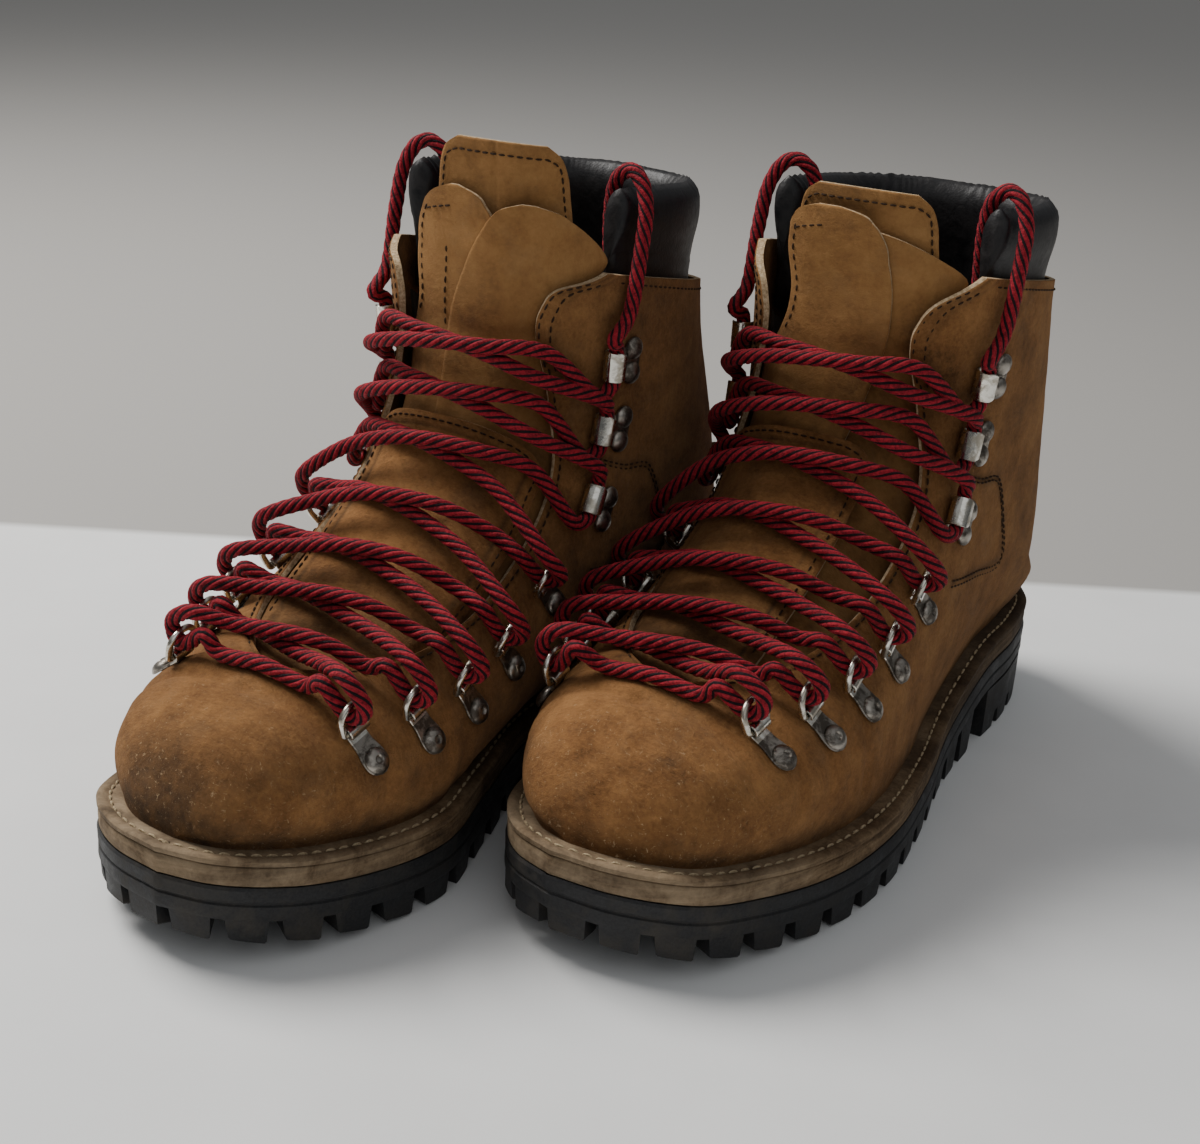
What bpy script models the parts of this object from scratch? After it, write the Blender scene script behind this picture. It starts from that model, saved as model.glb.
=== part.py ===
"""A pair of lace-up leather hiking boots: welted uppers, lugged rubber soles and criss-cross laces.

Both boots are drawn once, as the left boot, in millimetres: x runs to the outside of the foot, y to
the heel and z up. to_world() mirrors that drawing for the right boot and stands both in one scene.
"""
import math

import bmesh
import bpy
import numpy as np
from mathutils import Matrix, Vector

# ---- driving dimensions, in millimetres ----
PAIR_CENTRE = (-56.5, -34.5)  # middle of the standing pair, seen from the left boot
RIGHT_OFFSET = (-113.0, -69.0)  # where the right boot stands, seen from the left one
OUTLINE_OUTER = [(-11, -152), (9, -149), (30, -136), (43, -111), (53, -78), (55.5, -45), (50.5, -8),
                 (42, 32), (39, 70), (37.5, 105), (31, 132), (18, 148), (0, 152)]
OUTLINE_INNER = [(-11, -152), (-26.5, -146), (-41.5, -130), (-52.5, -103), (-57, -72), (-48, -38),
                 (-37, 0), (-34, 42), (-36.5, 75), (-38, 108), (-32, 134), (-18, 148), (0, 152)]
TOE_SPRING = 11.0  # lift of the toe tip off the floor
HEEL_RISE = 13.0  # how much higher the heel seat is than the ball
SOLE_TOP = 18.7  # top of the rubber under the ball
LUG_ROOT = 7.0
FEATHER = 29.0  # height where the upper meets the welt, under the ball
WELT_LEDGE = 8.5  # how far the upper stands inside the sole edge
GAP = 0.3
LEATHER = 2.2
LACE_RADIUS = 2.3
WIRE_RADIUS = 1.1
RING_WIDTH = 11.0
RING_DEPTH = 9.0
RING_TILT = math.radians(40)
HOOK_RADIUS = 3.9
RIVET_RADIUS = 3.9

# Cross-sections of the upper from the toe tip to the top line. Each is a tilted plane through a
# point on the front ridge (x, y, z) and one on the bottom or back (y, z), with the outermost and
# innermost x, where along the plane it is widest, and how square it is.
SECTIONS = np.array([
    (-11.0, -143.2, 42, -143.2, 30, -9, -13, 0.60, 2.0),
    (-11.0, -142.0, 50, -142.0, 30, 4, -21, 0.60, 2.0),
    (-10.5, -138.5, 58, -138.5, 30, 14, -28, 0.60, 2.1),
    (-10.0, -131.5, 65, -131.5, 30, 26, -35, 0.62, 2.2),
    (-9.0, -120, 70, -120, 28, 34, -42, 0.64, 2.3),
    (-8.0, -103, 73.5, -102, 26, 42, -49, 0.66, 2.3),
    (-7.5, -84, 78, -80, 25, 46, -53, 0.68, 2.2),
    (-7.5, -64, 87, -55, 25, 48, -54, 0.66, 2.1),
    (-7.0, -44, 100, -24, 25, 46, -52, 0.62, 2.1),
    (-6.5, -27, 114, 15, 25, 43, -50, 0.56, 2.2),
    (-6.0, -17, 125, 62, 25, 42, -50, 0.50, 2.3),
    (-6.0, -12, 134, 105, 25, 41, -50, 0.44, 2.4),
    (-6.0, -9, 143, 139, 27, 41, -50, 0.42, 2.5),
    (-6.0, -7, 152, 144, 50, 41, -50, 0.42, 2.6),
    (-6.0, -6, 160, 141, 80, 41, -50, 0.42, 2.6),
    (-6.0, -6, 168, 132, 108, 42, -50, 0.42, 2.6),
    (-6.0, -6, 176, 122, 135, 43, -50, 0.44, 2.6),
    (-6.0, -6, 186, 114, 160, 43, -50, 0.46, 2.6),
    (-6.0, -7, 197, 111, 180, 43, -50, 0.48, 2.6),
    (-6.0, -8, 213, 110, 205, 42, -49, 0.48, 2.6),
    (-6.0, -9, 230, 109, 228, 41, -48, 0.48, 2.6),
], float)
STEP = 1.0 / (len(SECTIONS) - 1)

# Lacing rows from the toe up: place along the boot, and distance of the hardware from the ridge.
RINGS = [(0.260, 35.0), (0.314, 43.0), (0.360, 49.0), (0.404, 53.0), (0.456, 55.0)]
HOOKS = [(0.552, 59.0), (0.658, 57.0), (0.757, 57.0)]
# Half width of the throat between the facings, along the boot.
THROAT = [(0.0, 16), (0.225, 26), (0.26, 29), (0.315, 36), (0.36, 41), (0.405, 44), (0.456, 45),
          (0.555, 42), (0.66, 34), (0.75, 29), (0.80, 30), (0.84, 36), (0.865, 46), (0.88, 56)]
THROAT_START = 0.238
UPPER_SIDES = 7  # columns of the upper's mesh down each side
UPPER_TOP = 0.885
FLAP_TOP = 0.93
FLAP_EDGE = {"left": 22.0, "right": 6.0}  # free edge of the inner flap, from the ridge
TONGUE = {"left": (-24.0, 38.0, 0.957), "right": (-44.0, 16.0, 0.985)}  # its two edges and its top
COVER_TOP = 0.56
COLLAR_TOP = 0.952
MIRRORED = {"left": False, "right": True}


def curve_through(at, places, values):
    """Smooth curve through the given values, at one place or many."""
    places, values = np.asarray(places, float), np.asarray(values, float)
    at = np.clip(np.asarray(at, float), places[0], places[-1])
    gaps = np.diff(places)
    rises = np.diff(values) / gaps
    slopes = np.empty_like(values)
    slopes[1:-1] = (rises[1:] * gaps[:-1] + rises[:-1] * gaps[1:]) / (gaps[1:] + gaps[:-1])
    slopes[0], slopes[-1] = rises[0], rises[-1]
    i = np.clip(np.searchsorted(places, at, side="right") - 1, 0, len(gaps) - 1)
    h = gaps[i]
    t = (at - places[i]) / h
    return ((1 + 2 * t) * (1 - t) ** 2 * values[i] + t * (1 - t) ** 2 * h * slopes[i]
            + t * t * (3 - 2 * t) * values[i + 1] + t * t * (t - 1) * h * slopes[i + 1])


def sole_lift(y):
    """How much the sole curves up at the toe and rises to the heel seat."""
    y = np.asarray(y, float)
    toe = np.where(y < -60, TOE_SPRING * ((y + 60) / 92) ** 2, 0.0)
    t = np.clip((y - 10) / 80, 0, 1)
    return toe + HEEL_RISE * t * t * (3 - 2 * t)


def toe_lift(y):
    return np.where(np.asarray(y, float) < -60, TOE_SPRING * ((np.asarray(y, float) + 60) / 92) ** 2, 0.0)


def outline_x(points, y, inset):
    """x of one side of the sole outline at y, moved inwards by inset."""
    p = np.array(points, float)
    along = np.r_[0, np.cumsum(np.linalg.norm(np.diff(p, axis=0), axis=1))]
    fine = np.linspace(0, along[-1], 400)
    x, yy = curve_through(fine, along, p[:, 0]), curve_through(fine, along, p[:, 1])
    dx, dy = np.gradient(x), np.gradient(yy)
    length = np.hypot(dx, dy)
    side = 1 if p[3, 0] > 0 else -1
    x, yy = x - side * dy / length * inset, yy + side * dx / length * inset
    order = np.argsort(yy)
    return np.interp(y, yy[order], x[order])


class Surface:
    """Outside of the upper, addressed by s (toe tip 0, top 1) and a (distance round from the ridge)."""

    def __init__(self):
        self.places = np.arange(len(SECTIONS)) * STEP
        self.kept = {}

    def section(self, s, side):
        """Points and distances from the ridge round one side of the section at s."""
        key = (round(float(s), 6), side)
        if key in self.kept:
            return self.kept[key]
        fx, fy, fz, by, bz, x_out, x_in, widest, square = (
            float(curve_through(s, self.places, SECTIONS[:, k])) for k in range(9))
        back_x = fx * (1 - min(1.0, max(0.0, by) / 100))
        q = np.linspace(0, 1, 600)
        y, z = fy + (by - fy) * q, fz + (bz - fz) * q
        below = z < FEATHER + sole_lift(y)
        closed = not below.any()
        end = 1.0 if closed else q[np.argmax(below)]
        xw = x_out if side > 0 else x_in
        outline = OUTLINE_OUTER if side > 0 else OUTLINE_INNER
        xe = back_x if closed else float(outline_x(outline, fy + (by - fy) * end, WELT_LEDGE))
        bend = 2.0 / square
        t = np.linspace(0, math.pi / 2, 90)
        q1, x1 = widest * end * (1 - np.cos(t) ** bend), fx + (xw - fx) * np.sin(t) ** bend
        if closed:
            q2, x2 = widest + (1 - widest) * np.sin(t) ** bend, xe + (xw - xe) * np.cos(t) ** bend
        else:
            u = np.sin(t)
            heel = min(1.0, max(0.0, (fy + (by - fy) * end - 95) / 45))
            straight, rounded = u ** 2.2, 1 - (1 - u ** square) ** (1 / square)
            q2 = end * (widest + (1 - widest) * u)
            x2 = xw + (xe - xw) * (straight + (rounded - straight) * heel)
        q, x = np.r_[q1, q2[1:]], np.r_[x1, x2[1:]]
        points = np.stack([x, fy + (by - fy) * q, fz + (bz - fz) * q], 1)
        steps = np.linalg.norm(np.diff(points, axis=0), axis=1)
        self.kept[key] = (points, np.r_[0, np.cumsum(steps)], closed)
        return self.kept[key]

    def reach(self, s, side):
        return self.section(s, side)[1][-1]

    def closed(self, s):
        return self.section(s, 1)[2]

    def on(self, s, a):
        side = 1 if a >= 0 else -1
        points, along, _ = self.section(s, side)
        return np.array([np.interp(abs(a), along, points[:, k]) for k in range(3)])

    def normal(self, s, a):
        """Outward unit normal. At the very toe the section shrinks to a point, so a near one is used."""
        side, near = (1 if a >= 0 else -1), 0.10
        if s < near:
            there = self.normal(near, a * self.reach(near, side) / self.reach(s, side))
            n = there * (s / near) + np.array([0.0, -1.0, 0.1]) * (1 - s / near)
            return n / np.linalg.norm(n)
        ds = 0.006
        low, high = max(s - ds, 0.0), min(s + ds, 1.0)
        limit = min(self.reach(q, side) for q in (low, s, high))
        a = math.copysign(min(abs(a), limit - 0.8), a)
        across = self.on(s, a + 0.7) - self.on(s, a - 0.7)
        up = self.on(high, a) - self.on(low, a)
        n = np.cross(across, up)
        return n / max(np.linalg.norm(n), 1e-9)

    def at(self, s, a, out=0.0):
        return self.on(s, a) + out * self.normal(s, a)


SURFACE = Surface()


def throat(s):
    return float(curve_through(s, [p[0] for p in THROAT], [p[1] for p in THROAT]))


# ---- scene helpers ----
def clear_scene():
    for obj in list(bpy.data.objects):
        bpy.data.objects.remove(obj)


def collection(name):
    made = bpy.data.collections.new(name)
    bpy.context.scene.collection.children.link(made)
    return made


def material(name, colour, roughness, metallic=0.0):
    mat = bpy.data.materials.new(name)
    mat.use_nodes = True
    shader = mat.node_tree.nodes["Principled BSDF"]
    shader.inputs["Base Color"].default_value = (*colour, 1)
    shader.inputs["Roughness"].default_value = roughness
    shader.inputs["Metallic"].default_value = metallic
    return mat


def to_world(points, foot):
    """Left-boot drawing points in millimetres to scene metres."""
    p = np.array(points, float).reshape(-1, 3).copy()
    if MIRRORED[foot]:
        p[:, 0] = RIGHT_OFFSET[0] - p[:, 0]
        p[:, 1] += RIGHT_OFFSET[1]
    p[:, 0] -= PAIR_CENTRE[0]
    p[:, 1] -= PAIR_CENTRE[1]
    return p / 1000


def add_mesh(name, points, faces, mat, foot, home):
    """A mesh object from drawing points, welded and with its faces turned outwards."""
    mesh = bpy.data.meshes.new(name)
    mesh.from_pydata([tuple(v) for v in to_world(points, foot)], [], faces)
    bm = bmesh.new()
    bm.from_mesh(mesh)
    bmesh.ops.remove_doubles(bm, verts=bm.verts, dist=2e-6)
    bmesh.ops.dissolve_degenerate(bm, edges=bm.edges, dist=2e-6)
    bmesh.ops.recalc_face_normals(bm, faces=bm.faces)
    bm.to_mesh(mesh)
    bm.free()
    mesh.materials.append(mat)
    obj = bpy.data.objects.new(name, mesh)
    home.objects.link(obj)
    return obj


def apply_modifiers(obj):
    bpy.context.view_layer.update()
    graph = bpy.context.evaluated_depsgraph_get()
    made = bpy.data.meshes.new_from_object(obj.evaluated_get(graph))
    obj.modifiers.clear()
    obj.data = made


def keep_largest(obj):
    """Drops the crumbs that a Boolean leaves beside the body."""
    bm = bmesh.new()
    bm.from_mesh(obj.data)
    left, bodies = set(bm.verts), []
    while left:
        body, edge = set(), [left.pop()]
        while edge:
            vert = edge.pop()
            body.add(vert)
            for link in vert.link_edges:
                other = link.other_vert(vert)
                if other in left:
                    left.remove(other)
                    edge.append(other)
        bodies.append(body)
    bodies.sort(key=len)
    for body in bodies[:-1]:
        bmesh.ops.delete(bm, geom=list(body), context="VERTS")
    bm.to_mesh(obj.data)
    bm.free()


def boolean(obj, other, operation):
    """One exact Boolean; other is an object or a collection of closed pieces."""
    step = obj.modifiers.new(operation.lower(), "BOOLEAN")
    step.operation = operation
    step.solver = "EXACT"
    if isinstance(other, bpy.types.Collection):
        step.operand_type = "COLLECTION"
        step.collection = other
    else:
        step.object = other
    apply_modifiers(obj)
    keep_largest(obj)


def shell(name, outer, inner, mat, foot, home, holes=None, seam=None):
    """Closed solid between two grids of points. holes marks cells left out. seam says, row by row,
    whether the first and last columns are the same place ("ring"), or all of them ("point")."""
    rows, cols = outer.shape[:2]
    seam = seam if seam is not None else [""] * rows
    for i in range(rows):
        if seam[i] == "point":
            outer[i], inner[i] = outer[i].mean(axis=0), inner[i].mean(axis=0)

    def index(i, j, layer):
        shared = seam[i] == "point" or (seam[i] == "ring" and j == cols - 1)
        return layer * rows * cols + i * cols + (0 if shared else j)

    faces, edges = [], {}
    for i in range(rows - 1):
        for j in range(cols - 1):
            if holes is not None and holes[i, j]:
                continue
            ring = [(i, j), (i, j + 1), (i + 1, j + 1), (i + 1, j)]
            one, two = outer[ring[0]] - outer[ring[2]], outer[ring[1]] - outer[ring[3]]
            turn = ring if np.linalg.norm(one) < np.linalg.norm(two) else ring[1:] + ring[:1]
            for half in ((turn[0], turn[1], turn[2]), (turn[0], turn[2], turn[3])):
                if len({index(*c, 0) for c in half}) == 3:
                    faces.append([index(*c, 0) for c in half])
                    faces.append([index(*c, 1) for c in reversed(half)])
            for p, q in zip(ring, ring[1:] + ring[:1]):
                key = frozenset((index(*p, 0), index(*q, 0)))
                if len(key) == 2:
                    edges.setdefault(key, []).append((p, q))
    for used in edges.values():
        if len(used) == 1:
            p, q = used[0]
            faces.append([index(*q, 0), index(*p, 0), index(*p, 1), index(*q, 1)])
    points = np.concatenate([outer.reshape(-1, 3), inner.reshape(-1, 3)])
    return add_mesh(name, points, faces, mat, foot, home)


def layer_points(places, columns, out):
    """Grid of surface points. columns(s) gives the distances from the ridge."""
    return np.array([[SURFACE.at(s, a, out) for a in columns(s)] for s in places])


def sheet(name, places, columns, out, thick, mat, foot, home, holes=None, seam=None):
    return shell(name, layer_points(places, columns, out), layer_points(places, columns, out - thick),
                 mat, foot, home, holes, seam)


def slab(name, span, inset, top, bottom, mat, foot, home, rows=22, across=4):
    """Plate that follows the sole outline between two heights given as functions of y."""
    t = 0.5 - 0.5 * np.cos(np.linspace(0, math.pi, rows))
    first, last = max(span[0], -152 + inset + 0.7), min(span[1], 152 - inset - 0.7)
    ys = first + (last - first) * t
    grids = []
    for height in (top, bottom):
        grid = [[(x_in + (x_out - x_in) * k / across, y, float(height(y))) for k in range(across + 1)]
                for y in ys
                for x_in, x_out in [(float(outline_x(OUTLINE_INNER, y, inset)),
                                     float(outline_x(OUTLINE_OUTER, y, inset)))]]
        grids.append(np.array(grid))
    return shell(name, grids[0], grids[1], mat, foot, home)


def prism(name, base, tip, mat, foot, home):
    """Closed solid between two polygons with the same number of corners."""
    n = len(base)
    faces = [list(range(n)), list(range(2 * n - 1, n - 1, -1))]
    faces += [[k, (k + 1) % n, n + (k + 1) % n, n + k] for k in range(n)]
    return add_mesh(name, np.concatenate([base, tip]), faces, mat, foot, home)


# ---- soles ----
def lug_footprints():
    """Corner pairs of the tread blocks round the edge, as (edge points, inner points)."""
    blocks = []
    for points, count in ((OUTLINE_OUTER, 13), (OUTLINE_INNER, 13)):
        ys = np.linspace(-147, 66, 600)
        x = np.array([outline_x(points, y, 0.4) for y in ys])
        inner = np.array([outline_x(points, y, 15.0) for y in np.clip(ys, -134, 66)])
        along = np.r_[0, np.cumsum(np.hypot(np.diff(x), np.diff(ys)))]
        for k in range(count):
            ends = (along[-1] * (k + 0.10) / count, along[-1] * (k + 0.90) / count)
            y0, y1 = (float(np.interp(e, along, ys)) for e in ends)
            outer = [(float(np.interp(y, ys, x)), y) for y in (y0, y1)]
            inside = [(float(np.interp(y, ys, inner)), max(y, -134)) for y in (y0, y1)]
            if abs(inside[0][1] - inside[1][1]) < 1.0:
                inside[0] = (inside[0][0] * 0.6 + inside[1][0] * 0.4, -136)
            blocks.append(outer + inside[::-1])
    return blocks


def tread_block(corners, root, foot, mat, home):
    """Block that narrows downwards, standing on the floor curve."""
    base = np.array(corners, float)
    middle = base.mean(axis=0)
    tip = middle + (base - middle) * np.array([0.93, 0.78])
    top = np.array([(x, y, root + float(toe_lift(y)) + 1.0) for x, y in base])
    bottom = np.array([(x, y, float(toe_lift(y))) for x, y in tip])
    return prism("block", top, bottom, mat, foot, home)


def heel_lift(corners):
    return float(sole_lift(corners[0][1]) - toe_lift(corners[0][1]))


def make_sole(foot, mats, home, tools):
    body = slab(f"{foot}_outsole", (-152, 152), 0.0, lambda y: SOLE_TOP + sole_lift(y),
                lambda y: LUG_ROOT + sole_lift(y), mats["rubber"], foot, home, rows=20)
    blocks = lug_footprints()
    for k in range(6):
        y = -115 + 28 * k
        half = 9.0
        for x in (-20, 12):
            shift = 4 if k % 2 else -4
            blocks.append([(x - 9 + shift, y - half), (x + 9 + shift, y - half),
                           (x + 9 + shift, y + half), (x - 9 + shift, y + half)])
    for corners in blocks:
        if min(c[1] for c in corners) > 64:
            continue
        tread_block(corners, LUG_ROOT + 0.4 + heel_lift(corners), foot, mats["rubber"], tools)
    boolean(body, tools, "UNION")
    empty(tools)


def empty(group):
    for obj in list(group.objects):
        bpy.data.objects.remove(obj)


def make_heel(foot, mats, home, tools):
    """Heel block with a slanted breast and notches cut in round its edge."""
    top = LUG_ROOT + HEEL_RISE - GAP - 0.2
    heel = slab(f"{foot}_heel_block", (76, 152), 0.3, lambda y: top - 1.2 * (1 - min(1, (y - 76) / 20)),
                lambda y: 0.0, mats["rubber"], foot, home, rows=14)
    for k in range(3):
        y = 92 + 17 * k
        for points in (OUTLINE_OUTER, OUTLINE_INNER):
            x = float(outline_x(points, y, 0))
            x1 = float(outline_x(points, y, 11))
            base = np.array([(x * 1.2, y - 3.4, -1), (x1, y - 3.4, -1), (x1, y + 3.4, -1),
                             (x * 1.2, y + 3.4, -1)])
            tip = np.array([(x * 1.2, y - 1.6, 7), (x1, y - 1.6, 7), (x1, y + 1.6, 7),
                            (x * 1.2, y + 1.6, 7)])
            prism("notch", base, tip, mats["rubber"], foot, tools)
    for x in (-13, 5):
        base = np.array([(x, 139, -1), (x + 6, 139, -1), (x + 6, 160, -1), (x, 160, -1)])
        tip = np.array([(x + 1.5, 139, 7), (x + 4.5, 139, 7), (x + 4.5, 160, 7), (x + 1.5, 160, 7)])
        prism("notch", base, tip, mats["rubber"], foot, tools)
    boolean(heel, tools, "DIFFERENCE")
    empty(tools)


def make_bottom(foot, mats, home, tools):
    make_sole(foot, mats, home, tools)
    make_heel(foot, mats, home, tools)
    layers = [("midsole", 0.6, SOLE_TOP + GAP, 6.4, "midsole"),
              ("welt", 0.2, SOLE_TOP + GAP + 6.7, 2.4, "midsole"),
              ("insole_board", WELT_LEDGE + 8.5, FEATHER + 0.3, 2.0, "board"),
              ("footbed", WELT_LEDGE + 10.0, FEATHER + 2.7, 3.5, "lining")]
    for part, inset, low, thick, mat in layers:
        slab(f"{foot}_{part}", (-152, 152), inset, lambda y, h=low + thick: h + sole_lift(y),
             lambda y, h=low: h + sole_lift(y), mats[mat], foot, home, rows=20)


# ---- leather ----
def spread(first, last, count):
    return list(np.linspace(first, last, count))


UPPER_PLACES = [0.0, 0.05, 0.085, 0.12, 0.16, 0.20, THROAT_START, 0.275, 0.315, 0.36, 0.41, 0.455,
                0.495, 0.53, 0.563, 0.595, 0.625, 0.652, 0.69, 0.73, 0.77, 0.81, 0.84, 0.865, UPPER_TOP]


def body_columns(extra, trim, middle, sides):
    """Columns across the boot: a few over the throat, then down each side to the welt or back seam."""
    def columns(s):
        g = throat(s) + extra
        short = 0 if SURFACE.closed(s) else trim
        out_reach, in_reach = SURFACE.reach(s, 1) - short, SURFACE.reach(s, -1) - short
        g_out, g_in = min(g, out_reach * 0.8), min(g, in_reach * 0.8)
        return (spread(-in_reach, -g_in, sides + 1)[:-1] + spread(-g_in, g_out, 2 * middle + 1)
                + spread(g_out, out_reach, sides + 1)[1:])
    return columns


def body_shell(name, places, extra, trim, sides, out, thick, start, mat, foot, home):
    """A skin over the whole boot, open at the throat above start."""
    middle = 3
    columns = body_columns(extra, trim, middle, sides)
    holes = np.zeros((len(places) - 1, 2 * (middle + sides)), bool)
    for i, s in enumerate(places[:-1]):
        if s >= start - 1e-6:
            holes[i, sides:sides + 2 * middle] = True
    seam = ["point" if s == 0 else "ring" if SURFACE.closed(s) else "" for s in places]
    return sheet(name, places, columns, out, thick, mat, foot, home, holes, seam)


def patch(name, places, left, right, count, out, thick, mat, foot, home):
    """A piece of one layer between two edges given as functions of the place along the boot."""
    return sheet(name, places, lambda s: spread(left(s), right(s), count), out, thick, mat, foot, home)


def make_leather(foot, mats, home):
    upper = body_shell(f"{foot}_upper", UPPER_PLACES, 0.0, 0.0, UPPER_SIDES, 0.0, LEATHER, THROAT_START,
                       mats["suede"], foot, home)
    lining_places = [0.07, 0.12, 0.18, THROAT_START, 0.31, 0.38, 0.45, 0.51, 0.56, 0.595, 0.625, 0.652,
                     0.70, 0.785]
    body_shell(f"{foot}_lining", lining_places, 16.0, 3.5, 4, -6.4, 0.8, THROAT_START, mats["lining"],
               foot, home)
    columns = body_columns(0.0, 0.0, 3, UPPER_SIDES)
    last = 2 * (UPPER_SIDES + 3)
    sheet(f"{foot}_toe_puff", UPPER_PLACES[2:6], lambda s: columns(s)[1:last], -2.6, 0.9, mats["board"],
          foot, home)
    sheet(f"{foot}_heel_counter", UPPER_PLACES[17:20],
          lambda s: columns(s)[last - 2:last] + columns(s)[:3], -2.6, 1.0, mats["board"], foot, home)
    strip = [0.665, 0.70, 0.74, 0.78, 0.82, 0.86]
    half = 7.0
    rows = [[SURFACE.reach(s, 1) - half, SURFACE.reach(s, 1) - 0.01, -SURFACE.reach(s, -1) + half]
            for s in strip]
    outer = np.array([[SURFACE.at(s, a, 1.7) for a in row] for s, row in zip(strip, rows)])
    inner = np.array([[SURFACE.at(s, a, 0.5) for a in row] for s, row in zip(strip, rows)])
    shell(f"{foot}_backstay", outer, inner, mats["suede"], foot, home)
    return upper


def make_tongues(foot, mats, home):
    under = 8.0
    places = spread(THROAT_START + 0.035, 0.85, 9)

    places += [0.87, 0.885, 0.90, FLAP_TOP - 0.012, FLAP_TOP - 0.004, FLAP_TOP]

    # The inner flap lies over the outer one; both come out from under the facings.
    edge = FLAP_EDGE[foot]

    def inner_left(s):
        near = -(throat(min(s, 0.80)) + under)
        return near if s <= 0.83 else near + (s - 0.83) * 170

    def inner_right(s):
        return float(curve_through(s, [0.30, 0.50, 0.70, 0.86, 0.915, FLAP_TOP],
                                   [6, 8, edge, edge, edge - 3, edge - 12]))

    def outer_left(s):
        return -float(curve_through(s, [0.30, 0.50, 0.70, 0.86, 0.915, FLAP_TOP], [4, 6, 26, 26, 22, 14]))

    def outer_right(s):
        near = throat(min(s, 0.80)) + under
        return near if s <= 0.83 else near - (s - 0.83) * 170

    patch(f"{foot}_flap_inner", places, inner_left, inner_right, 7, -3.9, 1.3,
          mats["suede"], foot, home)
    patch(f"{foot}_flap_outer", places, outer_left, outer_right, 7, -5.8, 1.3,
          mats["suede"], foot, home)
    first, last, tall = TONGUE[foot]

    def tongue_half(s):
        return float(curve_through(s, [0.40, 0.80, tall - 0.03, tall - 0.01, tall],
                                   [0.75, 1.0, 1.0, 0.95, 0.8]))

    middle, half = (first + last) / 2, (last - first) / 2
    patch(f"{foot}_tongue", spread(0.42, 0.88, 7) + [0.91, tall - 0.022, tall - 0.008, tall],
          lambda s: middle * min(1, max(0.2, (s - 0.4) * 3)) - half * tongue_half(s),
          lambda s: middle * min(1, max(0.2, (s - 0.4) * 3)) + half * tongue_half(s),
          7, -8.7, 1.4, mats["suede"], foot, home)

    def cover_half(s):
        return float(curve_through(s, [0.245, 0.38, 0.48, COVER_TOP - 0.02, COVER_TOP - 0.005, COVER_TOP],
                                   [22, 27, 27, 28, 26, 20]))

    patch(f"{foot}_instep_cover", spread(THROAT_START + 0.012, COVER_TOP - 0.03, 7)
          + [COVER_TOP - 0.018, COVER_TOP - 0.006, COVER_TOP], lambda s: -cover_half(s), cover_half,
          7, -0.3, 1.7, mats["suede"], foot, home)


def make_collar(foot, mats, home):
    """Padded roll round the top, from one facing round the heel to the other."""
    profile = [(0.80, -4.2), (0.86, -4.2), (0.905, -2.8), (0.93, -0.6), (0.945, -1.2), (COLLAR_TOP, -4.5),
               (0.945, -8.5), (0.90, -9.5), (0.80, -8.5)]
    start = 60.0

    def columns(s):
        out_reach, in_reach = SURFACE.reach(s, 1), SURFACE.reach(s, -1)
        return spread(start, out_reach - 0.01, 9) + spread(-in_reach + 0.01, -start, 9)[1:]

    grid = np.array([[SURFACE.at(s, a, out) for a in columns(s)] for s, out in profile])
    n, cols = grid.shape[:2]
    faces = [[i * cols + j, ((i + 1) % n) * cols + j, ((i + 1) % n) * cols + j + 1, i * cols + j + 1]
             for i in range(n) for j in range(cols - 1)]
    faces += [[i * cols for i in range(n)], [i * cols + cols - 1 for i in range(n)][::-1]]
    add_mesh(f"{foot}_collar", grid.reshape(-1, 3), faces, mats["collar"], foot, home)


# ---- lace hardware ----
class Seat:
    """Local axes on the upper: centre runs to the ridge, along runs up the facing, out is outwards."""

    def __init__(self, s, a):
        side = 1 if a > 0 else -1
        self.origin = SURFACE.at(s, a + side * 7)
        self.out = SURFACE.normal(s, a + side * 7)
        ahead = SURFACE.on(s + 0.012, a) - SURFACE.on(s - 0.012, a)
        ahead -= self.out * float(ahead @ self.out)
        self.along = ahead / np.linalg.norm(ahead)
        self.centre = np.cross(self.along, self.out) * side
        if float(self.centre @ (SURFACE.on(s, a - side * 4) - SURFACE.on(s, a))) < 0:
            self.centre = -self.centre
        self.origin = self.origin + self.centre * 7

    def point(self, centre, along, out):
        return self.origin + self.centre * centre + self.along * along + self.out * out


def bent_plate(seat, profile, width, mat, foot, home):
    """A strip bent to a side profile of (centre, out) points, extruded along the facing."""
    base = np.array([seat.point(c, -width / 2, o) for c, o in profile])
    tip = np.array([seat.point(c, width / 2, o) for c, o in profile])
    return prism("plate", base, tip, mat, foot, home)


def curl(radius, thick, first, last, count, length):
    """Side profile of a flat plate that ends in a curl of the given outside radius."""
    middle = GAP + radius
    angles = [math.radians(v) for v in spread(first, last, count)]
    outer = [(radius * math.cos(v), middle + radius * math.sin(v)) for v in angles]
    inner = [((radius - thick) * math.cos(v), middle + (radius - thick) * math.sin(v))
             for v in reversed(angles)]
    return [(-length, GAP)] + outer + inner + [(-length, GAP + thick)]


def rivet(seat, centre, along, mat, foot, home, shank):
    """Domed head; with a shank it reaches through the leather to the stay strip."""
    rings = [(RIVET_RADIUS, GAP + 0.4), (RIVET_RADIUS * 0.82, GAP + 2.2)]
    sides = 6
    points, faces = [], []
    for radius, height in rings:
        for k in range(sides):
            v = 2 * math.pi * k / sides
            points.append(seat.point(centre + radius * math.cos(v), along + radius * math.sin(v), height))
    points.append(seat.point(centre, along, GAP + 2.9))
    faces += [[k, (k + 1) % sides, sides + (k + 1) % sides, sides + k] for k in range(sides)]
    faces += [[sides + k, sides + (k + 1) % sides, 2 * sides] for k in range(sides)]
    faces.append(list(range(sides))[::-1])
    add_mesh("head", points, faces, mat, foot, home)
    if shank:
        peg(seat, centre, along, 1.5, GAP + 0.8, -4.9, 6, mat, foot, home)


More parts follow.
